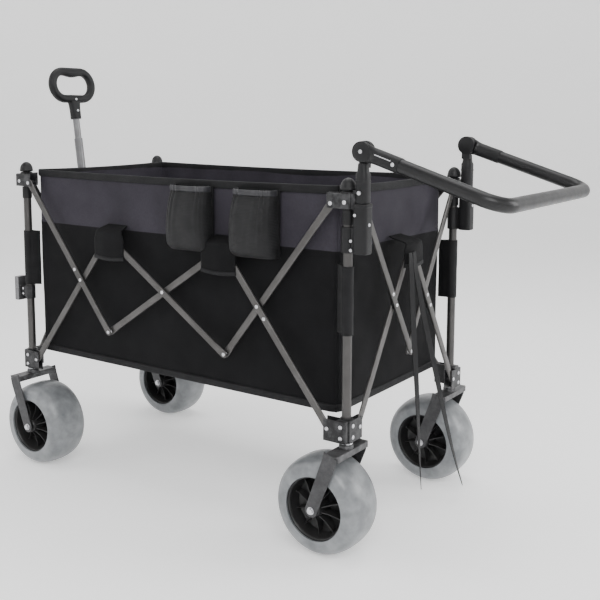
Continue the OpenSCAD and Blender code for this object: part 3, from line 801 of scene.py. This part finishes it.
for q in CORNERS:
    hub = Vector(joint_at["spin_" + q])
    wheel = "wheel_" + q
    bm = bmesh.new()
    lathe(bm, hub, AXLE, tyre_profile(), 96, closed=True)
    piece("tyre_skin_" + q, bm, tyre_pvc, wheel, ["tyre_" + q], smooth=60)
    bm = bmesh.new()
    for s in (-1, 1):
        way = AXLE * s
        dish = [(half_tyre * 0.80, 0.0670), (half_tyre * 0.895, 0.0668), (half_tyre * 0.905, 0.0655),
                (half_tyre * 0.90, 0.0630),
                (half_tyre * 0.86, 0.0612), (half_tyre * 0.80, 0.0606), (0.030, 0.0585), (0.018, 0.0560),
                (0.0150, 0.0520), (0.0140, 0.030),
                (0.0160, 0.0200), (0.030, 0.0172), (0.0460, 0.0164), (0.0500, 0.0155), (0.0515, 0.0140),
                (0.0515, 0.0072)]
        part = bmesh.new()
        lathe(part, hub, way, dish + [(0.0, 0.0072), (0.0, 0.0670)], 64, closed=True)
        made = bpy.data.meshes.new("half")
        part.to_mesh(made)
        part.free()
        bm.from_mesh(made)
        bpy.data.meshes.remove(made)
    piece("rim_dish_" + q, bm, rim_plastic, wheel, ["rim_" + q], smooth=35)
    rib = bmesh.new()
    for s in (-1, 1):
        deep_in, deep_out = s * 0.0125, [s * 0.0455, s * 0.036, s * 0.0300, s * 0.030]
        radii = [0.0140, 0.030, 0.050, 0.0600]
        rows = []
        for r, d in zip(radii, deep_out):
            rib_section = ((-0.0013, deep_in), (0.0013, deep_in), (0.0010, d), (-0.0010, d))
            rows.append([Vector((x, y, r)) for x, y in rib_section])
        loft(rib, rows)
    face_out(rib)
    rib_mesh = bpy.data.meshes.new("rib")
    rib.to_mesh(rib_mesh)
    rib.free()
    ribs = run_tree(ring_tree, rib_mesh, Count=10, Hub=hub, Material=rim_plastic)
    piece("ribs_" + q, ribs, rim_plastic, wheel, smooth=35)

# %% Forks, swivels and axle nuts
CROWN_Z, CROWN_HALF = 0.224, 0.0158
LEG_Y, LEG_HALF, FOOT_HALF, PLATE_HALF = 0.0575, 0.0160, 0.0140, 0.0015
for q in CORNERS:
    hub, pin = Vector(joint_at["spin_" + q]), Vector(joint_at["swivel_" + q])
    body = "fork_" + q
    bm = bmesh.new()
    for s in (-1, 1):
        top = Vector((pin.x, pin.y + s * LEG_Y, CROWN_Z - 0.006))
        foot = Vector((hub.x, pin.y + s * LEG_Y, hub.z))
        run = (foot - top).normalized()
        wide = Vector((run.z, 0, -run.x))
        outline = [top + wide * LEG_HALF + Vector((0, 0, 0.006)),
                   top - wide * LEG_HALF + Vector((0, 0, 0.006)),
                   top - wide * LEG_HALF + run * 0.012, foot - wide * FOOT_HALF]
        outline += [foot + wide * -FOOT_HALF * math.cos(t) + run * FOOT_HALF * math.sin(t)
                    for t in [math.pi * k / 12 for k in range(1, 12)]]
        outline += [foot + wide * FOOT_HALF, top + wide * LEG_HALF + run * 0.012]
        faces = [bm.verts.new(p + Vector((0, s * d, 0))) for d in (PLATE_HALF, -PLATE_HALF)
                 for p in outline]
        n = len(outline)
        bm.faces.new(faces[:n])
        bm.faces.new(list(reversed(faces[n:])))
        for k in range(n):
            m = (k + 1) % n
            bm.faces.new((faces[k], faces[n + k], faces[n + m], faces[m]))
    block(bm, (pin.x - CROWN_HALF, pin.y - LEG_Y - 0.0014, CROWN_Z - 0.0036),
          (pin.x + CROWN_HALF, pin.y + LEG_Y + 0.0014, CROWN_Z))
    for s in (-1, 1):
        block(bm, (pin.x + s * CROWN_HALF - 0.0014, pin.y - LEG_Y + 0.001, CROWN_Z - 0.013),
              (pin.x + s * CROWN_HALF + 0.0014, pin.y + LEG_Y - 0.001, CROWN_Z - 0.0004))
    face_out(bm)
    piece("fork_plate_" + q, bm, fork_enamel, body, [body], smooth=30, bevel=0.0011)
    bm = turned(Vector((pin.x, pin.y, CROWN_Z)), UP,
                [(0.0, 0.0150), (0.0060, 0.0146), (0.0072, 0.0135), (0.0080, 0.0125), (0.0080, 0.006)],
                32)
    piece("swivel_seat_" + q, bm, fork_enamel, body)
    bm = turned(Vector((pin.x, pin.y, CROWN_Z + 0.0080)), UP,
                [(0, 0.0060), (0, 0.0128), (0.0012, 0.0134), (0.0026, 0.0128), (0.0040, 0.0100),
                 (0.0046, 0.0060)], 32)
    piece("swivel_washer_" + q, bm, zinc, body)
    bm = bmesh.new()
    for s in (-1, 1):
        way = Vector((0, s, 0))
        lathe(bm, Vector((hub.x, hub.y, hub.z)) + way * (LEG_Y + 0.0010), way,
              [(0, 0.0078), (0.0012, 0.0078), (0.0014, 0.0060), (0.0050, 0.0060), (0.0056, 0.0052),
               (0.0060, 0.0030)], 6 if s > 0 else 28)
    piece("axle_nut_" + q, bm, zinc, body, smooth=40)
    bm = turned(Vector((hub.x, hub.y, hub.z)) - AXLE * (LEG_Y - 0.001), AXLE,
                [(0, 0.0055), (2 * (LEG_Y - 0.001), 0.0055)], 20)
    piece("axle_" + q, bm, zinc, body)
print("casters done")

# %% [markdown]
# ## The tub
# The tub is a sewn box of coated polyester. Four panels hang from a bound rim and are laced to the
# posts by sleeves. Each panel is a curved grid whose corners turn to meet the next panel, with soft
# ripples where the cloth is slack and tight folds where the corners pull it.

# %% Panel shape
TUB_X, TUB_Y = 0.4505, 0.2265
TUB_LOW, TUB_HIGH = 0.287, 0.738
ROUND = 0.022


def perimeter(side, share):
    """Point on the tub's outline and the way out, for a share along a side from -1 to 1."""
    half = TUB_X if side in ("near", "far") else TUB_Y
    flat = half - ROUND
    arc = ROUND * math.pi / 4
    travel = share * (flat + arc)
    bend = max(0.0, abs(travel) - flat) / ROUND
    turn = math.copysign(bend, travel)
    along = math.copysign(min(abs(travel), flat), travel) + ROUND * math.sin(turn)
    depth = (TUB_Y if half == TUB_X else TUB_X) - ROUND + ROUND * math.cos(turn)
    s = -1 if side in ("near", "front") else 1
    if half == TUB_X:
        return Vector((mid_x + along, s * depth, 0)), Vector((math.sin(turn), s * math.cos(turn), 0))
    return Vector((mid_x + s * depth, along, 0)), Vector((s * math.cos(turn), math.sin(turn), 0))


def ripple(point, share, up):
    """How far the cloth stands in from its flat place, in metres, at a height share up from 0 to 1."""
    slack = math.sin(math.pi * min(1, max(0, up))) ** 0.6
    edge = 1 - abs(share) ** 6
    slow = noise.noise(Vector((point.x * 4.2, point.y * 4.2, point.z * 1.7 + 3)))
    fine = noise.noise(Vector((point.x * 15, point.y * 15, point.z * 5.0 + 9)))
    pull = math.sin((point.x + point.y) * 46 + point.z * 17) * max(0, abs(share) - 0.72) / 0.28
    return (0.0058 * slow + 0.0016 * fine) * slack * edge + 0.0009 * pull * slack + 0.0014 * edge * slack


def panel(side, cols, rows=64):
    """One side of the tub, rippled, with a small ridge at the colour seam."""
    grid = []
    for r in range(rows + 1):
        up = r / rows
        z = TUB_LOW + (TUB_HIGH - TUB_LOW) * up
        line = []
        for c in range(cols + 1):
            share = 2 * c / cols - 1
            base, out = perimeter(side, share)
            base.z = z - 0.0035 * (1 - share ** 2) * up
            seam = 0.0009 * math.exp(-((z - BAND_Z) / 0.0016) ** 2)
            line.append(base - out * (max(0.0, ripple(base, share, up) + 0.004) + 0.0002 - seam))
        grid.append(line)
    return grid_sheet(grid, perimeter(side, 0)[1])


def edge_band(side, z, tall, deep, cols, drop):
    """A rounded strip of binding that follows a panel's top or bottom edge."""
    path = []
    for c in range(cols + 1):
        share = 2 * c / cols - 1
        base, out = perimeter(side, share)
        path.append(base - out * (0.0035 if drop else 0.0045)
                    + Vector((0, 0, z - 0.0035 * (1 - share ** 2) * drop)))
    bm = bmesh.new()
    sweep(bm, path, oval(deep / 2, tall / 2, 16, 0.55))
    return bm


CARRIER = {"near": "post_near_rear", "rear": "post_near_rear", "far": "post_far_rear",
           "front": "post_near_front"}


def folds_with(obj):
    """Gives a piece its own copy of its mesh data."""
    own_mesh(obj)


for side in ("near", "far", "rear", "front"):
    wide = TUB_X if side in ("near", "far") else TUB_Y
    cols = int(wide * 320)
    cloth = piece(side + "_panel", panel(side, cols), tub_cloth, CARRIER[side],
                  [side + "_wall"], smooth=80, thick=0.0022)
    rim_band = piece(side + "_rim_binding", edge_band(side, 0.7345, 0.017, 0.0068, cols // 2, 1),
                     binding_cloth,
                     CARRIER[side], smooth=60)
    foot_band = piece(side + "_foot_binding", edge_band(side, 0.2935, 0.016, 0.0060, cols // 2, 0),
                      binding_cloth,
                      CARRIER[side], smooth=60)
    folds_with(cloth)
    folds_with(rim_band)
    folds_with(foot_band)
print("tub", round(2 * TUB_X, 3), "x", round(2 * TUB_Y, 3), "x", round(TUB_HIGH - TUB_LOW, 3), "m")

# %% [markdown]
# Flaps of black cloth are sewn into the colour seam, just above the upper strut joints. Each leaves
# the wall, rides out over the joint and hangs down in front of it, so that nothing pinches a hand.

# %% Flaps over the strut joints
FLAP_TOP = 0.6240
FLAP_SHELF, FLAP_TURN = 0.010, 0.22


def flap(side, at, top_half, low_half, low, reach):
    """A hanging flap and its hem line: at is its place along the side, reach how far out it hangs."""
    out = OUTWARD[side]
    along = Vector((1, 0, 0)) if side != "rear" else Vector((0, 1, 0))
    centre = Vector((mid_x, 0, 0))
    flat = (TUB_Y if side != "rear" else TUB_X) - 0.0012
    rows, cols = 40, 24
    grid = []
    for r in range(rows + 1):
        t = r / rows
        fall = max(0.0, t - FLAP_TURN) / (1 - FLAP_TURN)
        ease = min(1, t / 0.30)
        ease = ease * ease * (3 - 2 * ease)
        z = FLAP_TOP - FLAP_SHELF * min(1, t / FLAP_TURN) - (FLAP_TOP - FLAP_SHELF - low) * fall
        depth = flat + (reach - flat) * ease
        half = top_half + (low_half - top_half) * min(1, t / 0.5) ** 0.8
        line = []
        for c in range(cols + 1):
            u = 2 * c / cols - 1
            rumple = noise.noise(Vector((at * 9 + u * 1.4, z * 16, 4)))
            bow = -0.0040 * u * u * ease + 0.0010 * rumple * ease
            sag = 0.003 * u * u * t
            line.append(centre + along * (at + half * u) + out * (depth + bow) + Vector((0, 0, z + sag)))
        grid.append(line)
    return grid_sheet(grid, out), grid[rows]


FLAPS = [("near", -0.164, 0.030, 0.0475, 0.5465, 0.2572), ("near", 0.164, 0.027, 0.0475, 0.5465, 0.2572),
         ("far", -0.164, 0.030, 0.0475, 0.5465, 0.2572), ("far", 0.164, 0.030, 0.0475, 0.5465, 0.2572),
         ("rear", 0.0, 0.026, 0.040, 0.5615, 0.4990)]
for k, (side, at, top_half, low_half, low, reach) in enumerate(FLAPS):
    bm, hem_line = flap(side, at, top_half, low_half, low, reach)
    shape = piece(f"{side}_flap_{k}", bm, black_cloth, CARRIER[side], smooth=70, thick=0.0016)
    bm = bmesh.new()
    sweep(bm, hem_line, oval(0.0016, 0.0042, 12, 0.6))
    hem = piece(f"{side}_flap_hem_{k}", bm, binding_cloth, CARRIER[side])
    folds_with(shape)
    folds_with(hem)
print(len(FLAPS), "flaps")

# %% [markdown]
# ## Cup pockets
# Two mesh pockets hang on the near side. The mesh is gathered into a smooth satin hem at the mouth and
# bags outward lower down, so the pocket is a bulging sheet with pleats that fade as they fall.

# %% Pockets
POCKETS = ((0.018, 0.116, 0.0), (0.194, 0.116, 2.0))
POCKET_LOW, HEM_LOW, POCKET_TOP = 0.5875, 0.7160, 0.7275
POCKET_BACK = -0.2288


def pocket_ring(x0, wide, seed, z, count=96):
    """Outline of a pocket at one height, from its back edge round the front."""
    t = (z - POCKET_LOW) / (POCKET_TOP - POCKET_LOW)
    mid = mid_x + x0 + wide / 2
    half = wide / 2 * (1.0 - 0.13 * max(0, t) ** 1.8)
    belly = 0.55 + 0.45 * math.sin(math.pi * min(1.0, 0.18 + 0.62 * (1 - t)))
    front_deep = 0.047 * belly * (1 - 0.30 * max(0, t) ** 3)
    close = max(0.0, 1 - t / 0.12)
    front_deep *= 1 - 0.30 * close ** 2
    half *= 1 - 0.07 * close ** 2
    pts = []
    for k in range(count + 1):
        a = math.pi * k / count
        x = -half * math.copysign(abs(math.cos(a)) ** 0.60, math.cos(a))
        y = front_deep * abs(math.sin(a)) ** 0.50
        pleat = math.sin(k * 0.62 + seed + 1.3 * math.sin(k * 0.17 + seed)) * 0.0016 * max(0, t) ** 1.6
        sag = 0.0045 * noise.noise(Vector((x * 24 + seed, z * 14, seed))) * (1 - abs(x / half) ** 4)
        pts.append(Vector((mid + x, POCKET_BACK - max(0.0004, y + (pleat + sag) * math.sin(a)), z)))
    return pts


for k, (x0, wide, seed) in enumerate(POCKETS):
    bm = bmesh.new()
    levels = [POCKET_LOW + (HEM_LOW + 0.001 - POCKET_LOW) * r / 44 for r in range(45)]
    rows = loft(bm, [pocket_ring(x0, wide, seed, z) for z in levels], closed=False, caps=False)
    bm.faces.new(rows[0])
    face_out(bm)
    bag = piece(f"cup_pocket_{k}", bm, mesh_cloth, "post_near_rear", ["cup_pockets"],
                smooth=80, thick=0.0009)
    bm = bmesh.new()
    rings = []
    for z, puff in ((HEM_LOW - 0.0005, 0.0), (HEM_LOW + 0.0010, 0.0012), (HEM_LOW + 0.006, 0.0018),
                    (POCKET_TOP - 0.0015, 0.0012), (POCKET_TOP, 0.0)):
        ring = pocket_ring(x0, wide, seed, min(z, HEM_LOW))
        rings.append([Vector((p.x, p.y - puff * min(1, (POCKET_BACK - p.y) * 90), z)) for p in ring])
    loft(bm, rings, closed=False, caps=False)
    face_out(bm)
    hem = piece(f"pocket_hem_{k}", bm, hem_satin, "post_near_rear", smooth=80, thick=0.0016)
    bm = bmesh.new()
    block(bm, (mid_x + x0 + 0.001, POCKET_BACK - 0.0008, POCKET_LOW),
          (mid_x + x0 + wide - 0.001, POCKET_BACK + 0.0008, POCKET_TOP))
    back = piece(f"pocket_back_{k}", bm, binding_cloth, "post_near_rear", smooth=40)
    for obj in (bag, hem, back):
        folds_with(obj)
print("pockets done")

# %% [markdown]
# ## Sleeves round the posts
# A black cloth sleeve wraps each post below its collar and runs back to the tub's corner. It keeps the
# tub upright and hides the edge where both panels meet.

# %% Sleeves
SLEEVE_LOW, SLEEVE_TALL, SLEEVE_ROUND = 0.452, 0.136, 0.115
RUMPLE = 0.0006


def sleeve_path(q):
    """The sleeve's line seen from above: out from the tub's corner, round the post and back."""
    sx, sy = corner(q)
    axis = post_at[q]
    inner = Vector((mid_x + sx * (TUB_X - 0.006), sy * (TUB_Y - 0.006), 0))
    toward = (inner - axis).normalized()
    side = Vector((-toward.y, toward.x, 0))
    r = 0.0118
    pts = [inner + side * 0.0012]
    for k in range(25):
        a = math.radians(30 + 300 * k / 24)
        pts.append(axis + toward * r * math.cos(a) + side * r * math.sin(a))
    pts.append(inner - side * 0.0012)
    return pts


for q in CORNERS:
    bm = bmesh.new()
    path = sleeve_path(q)
    rings = []
    for r in range(25):
        z = SLEEVE_LOW + SLEEVE_TALL * r / 24
        rings.append([p + Vector((0, 0, z)) + (p - post_at[q]).normalized() * RUMPLE
                      * noise.noise(Vector((p.x * 60, p.y * 60, z * 30))) for p in path])
    loft(bm, rings, closed=False, caps=False)
    face_out(bm)
    wrap = piece("sleeve_" + q, bm, binding_cloth, "post_" + q, smooth=80, thick=0.0012)
print("sleeves done")

# %% [markdown]
# ## Floor mats
# The floor is a stiffened mat in two halves that fold up along the middle. Each half is wadding in a
# cloth cover, so it is blown up a little by a cloth simulation held at its stitched rows.

# %% Padded mats
PUFF_MOST = 0.0045
PUFF_FRAMES = 20


def border(rows):
    """The outer points of a grid, in order round it."""
    return rows[0] + [row[-1] for row in rows[1:]] + rows[-1][-2::-1] + [row[0] for row in rows[-2:0:-1]]


for side, node in (("near", "near_mat"), ("far", "far_mat")):
    low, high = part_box(node)
    nx, ny = 90, 24
    bm = bmesh.new()
    sheets = []
    for z in (low.z + 0.0015, high.z - 0.0010):
        sheets.append([[bm.verts.new((low.x + 0.004 + (high.x - low.x - 0.008) * i / nx,
                                      low.y + 0.002 + (high.y - low.y - 0.004) * j / ny, z))
                                      for i in range(nx + 1)] for j in range(ny + 1)])
    bottom, top = sheets
    for j in range(ny):
        for i in range(nx):
            bm.faces.new((bottom[j][i], bottom[j + 1][i], bottom[j + 1][i + 1], bottom[j][i + 1]))
            bm.faces.new((top[j][i], top[j][i + 1], top[j + 1][i + 1], top[j + 1][i]))
    rim_low, rim_high = border(bottom), border(top)
    for k in range(len(rim_low)):
        m = (k + 1) % len(rim_low)
        bm.faces.new((rim_low[k], rim_low[m], rim_high[m], rim_high[k]))
    face_out(bm)
    obj = piece(side + "_mat_pad", bm, mat_cloth, node, [node], smooth=80)
    stitched = obj.vertex_groups.new(name="stitched")
    held = [v.index for v in obj.data.vertices
            if any(abs((v.co.x - low.x) / (high.x - low.x) - s) < 0.006 for s in (0, 0.25, 0.5, 0.75, 1))
            or abs(v.co.y - low.y) < 0.004 or abs(v.co.y - high.y) < 0.004 or v.co.z < low.z + 0.002]
    stitched.add(held, 1.0, "REPLACE")
    flat_shape = [v.co.copy() for v in obj.data.vertices]
    cloth = obj.modifiers.new("wadding", "CLOTH")
    cloth.settings.use_pressure = True
    cloth.settings.uniform_pressure_force = 4
    cloth.settings.effector_weights.gravity = 0
    cloth.settings.vertex_group_mass = "stitched"
    cloth.settings.quality = 6
    scene.frame_start, scene.frame_end = 1, PUFF_FRAMES
    cloth.point_cache.frame_start, cloth.point_cache.frame_end = 1, PUFF_FRAMES
    for f in range(1, PUFF_FRAMES + 1):
        scene.frame_set(f)
    graph = bpy.context.evaluated_depsgraph_get()
    done = obj.evaluated_get(graph).to_mesh()
    moved = [v.co.copy() for v in done.vertices]
    obj.evaluated_get(graph).to_mesh_clear()
    obj.modifiers.remove(cloth)
    scene.frame_set(1)
    reach = max((a - b).length for a, b in zip(moved, flat_shape))
    scale = min(1.0, PUFF_MOST / max(reach, 1e-6))
    for v, a, b in zip(obj.data.vertices, flat_shape, moved):
        v.co = a + (b - a) * scale
    print(side, "mat puffed", round(reach * 1000, 1), "mm, kept",
          round(min(reach, PUFF_MOST) * 1000, 1), "mm")
    folds_with(obj)

# %% [markdown]
# ## Webbing straps
# Two loose straps hang from the rear tab; they tie the folded wagon shut. They are flat webbing, so
# each is a thin ribbon swept along its route.

# %% Straps
ROUTES = {
    "strap_near": [(503, -31, 592), (505, -30, 560), (507, -27, 500), (508, -20, 430), (509, -12, 360),
                   (510, -4, 290), (511, 3, 220), (512, 9, 150), (513, 14, 100), (514, 17, 62)],
    "strap_far": [(503, -14, 592), (506, -11, 555), (512, -1, 500), (518, 12, 440), (525, 32, 370),
                  (531, 53, 300), (536, 75, 230), (541, 97, 165), (545, 118, 110), (548, 137, 66),
                  (551, 150, 36)]}
STRAP_W, STRAP_T = 0.013, 0.0016


def smooth_route(points, between=8):
    """A curve through the points, in metres."""
    pts = [Vector((p[0] / 1000 + mid_x, p[1] / 1000, p[2] / 1000)) for p in points]
    out = []
    for i in range(len(pts) - 1):
        a, b, c, d = pts[max(0, i - 1)], pts[i], pts[i + 1], pts[min(len(pts) - 1, i + 2)]
        for k in range(between):
            t = k / between
            out.append(0.5 * (2 * b + (c - a) * t + (2 * a - 5 * b + 4 * c - d) * t * t
                              + (3 * b - a - 3 * c + d) * t ** 3))
    return out + [pts[-1]]


for name, points in ROUTES.items():
    path = smooth_route(points)
    rings = []
    for i, p in enumerate(path):
        run = (path[min(i + 1, len(path) - 1)] - path[max(i - 1, 0)]).normalized()
        wide = Vector((0, 1, 0)) - run * run.y
        wide.normalize()
        twist = 0.5 * math.sin(i / len(path) * math.pi * 1.5)
        thick = run.cross(wide).normalized()
        flat_way = wide * math.cos(twist) + thick * math.sin(twist)
        thin_way = thick * math.cos(twist) - wide * math.sin(twist)
        rings.append([p + flat_way * STRAP_W / 2 * a + thin_way * STRAP_T / 2 * b
                      for a, b in ((-1, -1), (1, -1), (1, 1), (-1, 1))])
    strap = piece(name, lofted(rings), webbing_cloth, "post_near_rear", ["rear_straps"],
                  smooth=40)
    folds_with(strap)

# %% [markdown]
# ## Push bar
# The bar is a U of coated tube. Each arm ends in a moulded knuckle whose two discs lock against each
# other, and its stem drops into a socket clamped to the rear post.

# %% Sockets, stems and buttons
stem_x = joint_at["bar_tilt"].x
knuckle_z = joint_at["bar_tilt"].z
SOCKET = ((0.6150, 0.0138, 0.5), (0.6165, 0.0149, 0.45), (0.7050, 0.0149, 0.45),
          (0.7055, 0.0156, 0.45), (0.7105, 0.0156, 0.45), (0.7120, 0.0144, 0.5))
STEM = ((0.7124, 0.0128), (0.7134, 0.0134), (0.7520, 0.0134), (0.7526, 0.0140), (0.7560, 0.0140),
        (0.7566, 0.0134), (0.7680, 0.0134), (0.7730, 0.0110), (0.7885, 0.0096))
STEM_ROUND = 0.8
for side, s in (("near", -1), ("far", 1)):
    out = Vector((0, s, 0))
    post = "post_" + side + "_rear"
    bm = bmesh.new()
    here = Vector((stem_x, s * post_y, 0))
    loft(bm, stack(here, SOCKET, deep=0.95))
    lathe(bm, post_at["near_rear" if s < 0 else "far_rear"] + Vector((0, 0, 0.6150)), UP,
          [(0, 0.0102), (0, 0.0126), (0.0010, 0.0136), (0.0500, 0.0136), (0.0510, 0.0126),
           (0.0510, 0.0102)], 40, closed=True)
    block(bm, (post_at["near_rear"].x + 0.0105, s * post_y - 0.0075, 0.6160),
          (stem_x - 0.010, s * post_y + 0.0075, 0.6655))
    face_out(bm)
    piece(side + "_socket_shaped", bm, black_plastic, post, [side + "_socket"],
          smooth=40, bevel=0.0006)
    rivets(side + "_socket_rivets", [(Vector((stem_x - 0.010, s * (post_y + 0.0140), 0.690)), out),
                                     (Vector((stem_x + 0.0150, s * (post_y + 0.001), 0.672)),
                                      Vector((1, 0, 0))),
                                     (Vector((stem_x - 0.0185, s * (post_y + 0.0140), 0.640)), out),
                                     (Vector((stem_x - 0.0185, s * (post_y + 0.0140), 0.622)), out)],
                                     post, 0.0035, 0.002)
    bm = bmesh.new()
    loft(bm, stack(here, [(z, half, STEM_ROUND) for z, half in STEM]))
    lathe(bm, here + Vector((0, 0, knuckle_z)) - out * 0.0120, out,
          [(0, 0.0180), (0.0012, 0.0205), (0.0104, 0.0205), (0.0116, 0.0185)], 48)
    block(bm, (stem_x - 0.0100, here.y - (0.0116 if s > 0 else 0.0), 0.7800),
          (stem_x + 0.0100, here.y + (0.0116 if s < 0 else 0.0), 0.8000))
    lathe(bm, here + Vector((0, 0, 0.623)), UP, [(0, 0.0088), (0.090, 0.0088)], 32)
    face_out(bm)
    piece(side + "_stem_shaped", bm, black_plastic, side + "_stem", [side + "_stem"],
          smooth=40, bevel=0.0006)
    dressed(side + "_button", zinc, side + "_button", 0.0008)
print("sockets and stems dressed")

# %% Push bar
bar_low, bar_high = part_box("push_bar")
droop = math.radians(17.5)
arm = Vector((math.cos(droop), 0, -math.sin(droop)))
lift = Vector((math.sin(droop), 0, math.cos(droop)))
REACH, BEND, BAR_R = 0.297, 0.042, 0.014
root = Vector((stem_x, 0, knuckle_z))


def bar_point(forward, across):
    """A point on the push bar, measured along its drooping arm."""
    return root + arm * forward + Vector((0, across, 0))


path = [bar_point(0.024 + (REACH - BEND - 0.024) * k / 10, -post_y) for k in range(11)]
path += [bar_point(REACH - BEND + BEND * math.sin(t), -post_y + BEND - BEND * math.cos(t))
         for t in [math.pi / 2 * k / 14 for k in range(1, 15)]]
path += [bar_point(REACH, -post_y + BEND + (2 * post_y - 2 * BEND) * k / 30) for k in range(1, 30)]
path += [Vector((p.x, -p.y, p.z)) for p in reversed(path[:25])]
bm = bmesh.new()
sweep(bm, path, oval(BAR_R, BAR_R, 32), up=lift)
piece("bar_tube", bm, bar_coat, "push_bar", ["push_bar"], smooth=60)
NECK = ((0.006, 0.0060, 0.0188), (0.016, 0.0062, 0.0172), (0.022, 0.0078, 0.0160),
        (0.029, 0.0120, 0.0152),
        (0.036, 0.0149, 0.0149), (0.082, 0.0149, 0.0149), (0.084, 0.0144, 0.0144))
for where, s in (("near", -1), ("far", 1)):
    side = Vector((0, s, 0))
    y0 = s * post_y + (0.0063 if s > 0 else -0.0063)
    centre = Vector((stem_x, y0, knuckle_z))
    bm = turned(centre - AXLE * 0.006, AXLE,
                [(0, 0.0175), (0.0012, 0.0195), (0.0108, 0.0195), (0.012, 0.0175)], 48)
    piece("knuckle_disc_" + where, bm, black_plastic, "push_bar", smooth=40)
    rings = []
    for f, a, b in NECK:
        mid = bar_point(f, (s * post_y) + (0.0063 * s) * max(0, 1 - max(0, f - 0.012) / 0.020))
        rings.append([mid + Vector((0, x, 0)) + lift * y for x, y in oval(a, b, 32, 0.75)])
    piece("knuckle_neck_" + where, lofted(rings), black_plastic, "push_bar", smooth=50)
    outer = y0 + s * 0.0062
    rivets("knuckle_screw_" + where,
           [(Vector((stem_x, outer, knuckle_z)), side), (bar_point(0.074, s * (post_y + 0.0146)), side)],
           "push_bar", 0.0042, 0.0022)
    bm = bmesh.new()
    slot_path = [bar_point(0.032 + 0.036 * k / 8, s * (post_y + 0.0147)) + lift * 0.005 for k in range(9)]
    sweep(bm, slot_path, oval(0.0006, 0.0009, 8), up=lift)
    piece("arm_lock_wire_" + where, bm, zinc, "push_bar")
print("push bar spans", round(bar_high.y - bar_low.y, 3), "m")

# %% [markdown]
# ## Pull handle
# A telescoping tube leans forward from a bracket on the front scissor. Its grip is a moulded ring with
# a swelling under the top bar for the fingers.

# %% Handle
swing = joint_at["handle_swing"]
lean = math.radians(7.5)
up_tube = Vector((-math.sin(lean), 0, math.cos(lean)))
face = Vector((math.cos(lean), 0, math.sin(lean)))
dressed("handle_bracket", frame_enamel, "handle_bracket", 0.001)
dressed("handle_tube", handle_enamel, "handle_tube", 0.0008)
GRIP_AT, GRIP_W, GRIP_H, RING = 0.345, 0.155, 0.096, 0.011


def grip_place(along, across, out=0.0):
    """A point on the handle, measured along its tube, across it and toward its front."""
    return swing + up_tube * along + Vector((0, across, 0)) + face * out


bm = turned(grip_place(0.02, 0), up_tube, [(0, 0.009), (GRIP_AT - GRIP_H / 2 - 0.02, 0.009)], 32)
piece("inner_tube", bm, handle_enamel, "handle_grip", ["handle_grip"], smooth=50)
bm = bmesh.new()
rings = []
count, cross = 120, 24
straight = (GRIP_W - GRIP_H) / 2
turn_r = GRIP_H / 2 - RING
loop_len = 4 * straight + 2 * math.pi * turn_r
for k in range(count):
    d = loop_len * k / count
    if d < straight:
        y, z, n = d, turn_r, (0, 1)
    elif d < straight + math.pi * turn_r:
        t = (d - straight) / turn_r
        y, z, n = straight + turn_r * math.sin(t), turn_r * math.cos(t), (math.sin(t), math.cos(t))
    elif d < 3 * straight + math.pi * turn_r:
        y, z, n = straight - (d - straight - math.pi * turn_r), -turn_r, (0, -1)
    elif d < 3 * straight + 2 * math.pi * turn_r:
        t = (d - 3 * straight - math.pi * turn_r) / turn_r
        y, z, n = -straight - turn_r * math.sin(t), -turn_r * math.cos(t), (-math.sin(t), -math.cos(t))
    else:
        y, z, n = -straight + (d - 3 * straight - 2 * math.pi * turn_r), turn_r, (0, 1)
    swell = 0.0052 * math.exp(-((y / 0.022) ** 2)) if z > 0 else 0.0
    base = grip_place(GRIP_AT + z - swell / 2, y)
    normal = Vector((0, n[0], 0)) + up_tube * n[1]
    rings.append([base + normal * (x * (1 + swell * 45)) + face * w
                  for x, w in oval(RING * 0.98, RING * 0.96, cross, 0.85)])
rings.append(rings[0])
loft(bm, rings, caps=False)
bmesh.ops.remove_doubles(bm, verts=bm.verts, dist=1e-7)
neck = []
for d, a, b in ((-0.0440, 0.0122, 0.0112), (-0.042, 0.0128, 0.0118), (-0.020, 0.0128, 0.0118),
                (-0.006, 0.0150, 0.0110), (0.006, 0.0190, 0.0095)):
    neck.append([grip_place(GRIP_AT - GRIP_H / 2 + d, 0) + Vector((0, x, 0)) + face * y
                 for x, y in oval(a, b, 28, 0.55)])
loft(bm, neck)
face_out(bm)
piece("grip_ring", bm, black_plastic, "handle_grip", smooth=60)
rivets("grip_rivets",
       [(grip_place(GRIP_AT - GRIP_H / 2 - 0.022, 0, 0.0118), face),
        (grip_place(GRIP_AT - GRIP_H / 2 + 0.009, 0, 0.0104), face)],
       "handle_grip", 0.0036, 0.0018)
rivets("bracket_rivets", [(Vector((swing.x, s * 0.0190, swing.z)), Vector((0, s, 0))) for s in (-1, 1)],
       "handle_bracket", 0.0046, 0.0022)

# %% Post clip
clip = dressed("post_clip", frame_enamel, "post_near_front", 0.0014)
two_tone(clip, handle_enamel, lambda c: c.x < post_at["near_front"].x - 0.0295)
rivets("clip_rivets",
       [(Vector((post_at["near_front"].x - 0.020, -post_y - 0.0070, z)), Vector((0, -1, 0)))
        for z in (0.4255, 0.4385)],
       "post_near_front", 0.0032, 0.0016)
print("handle and clip done")
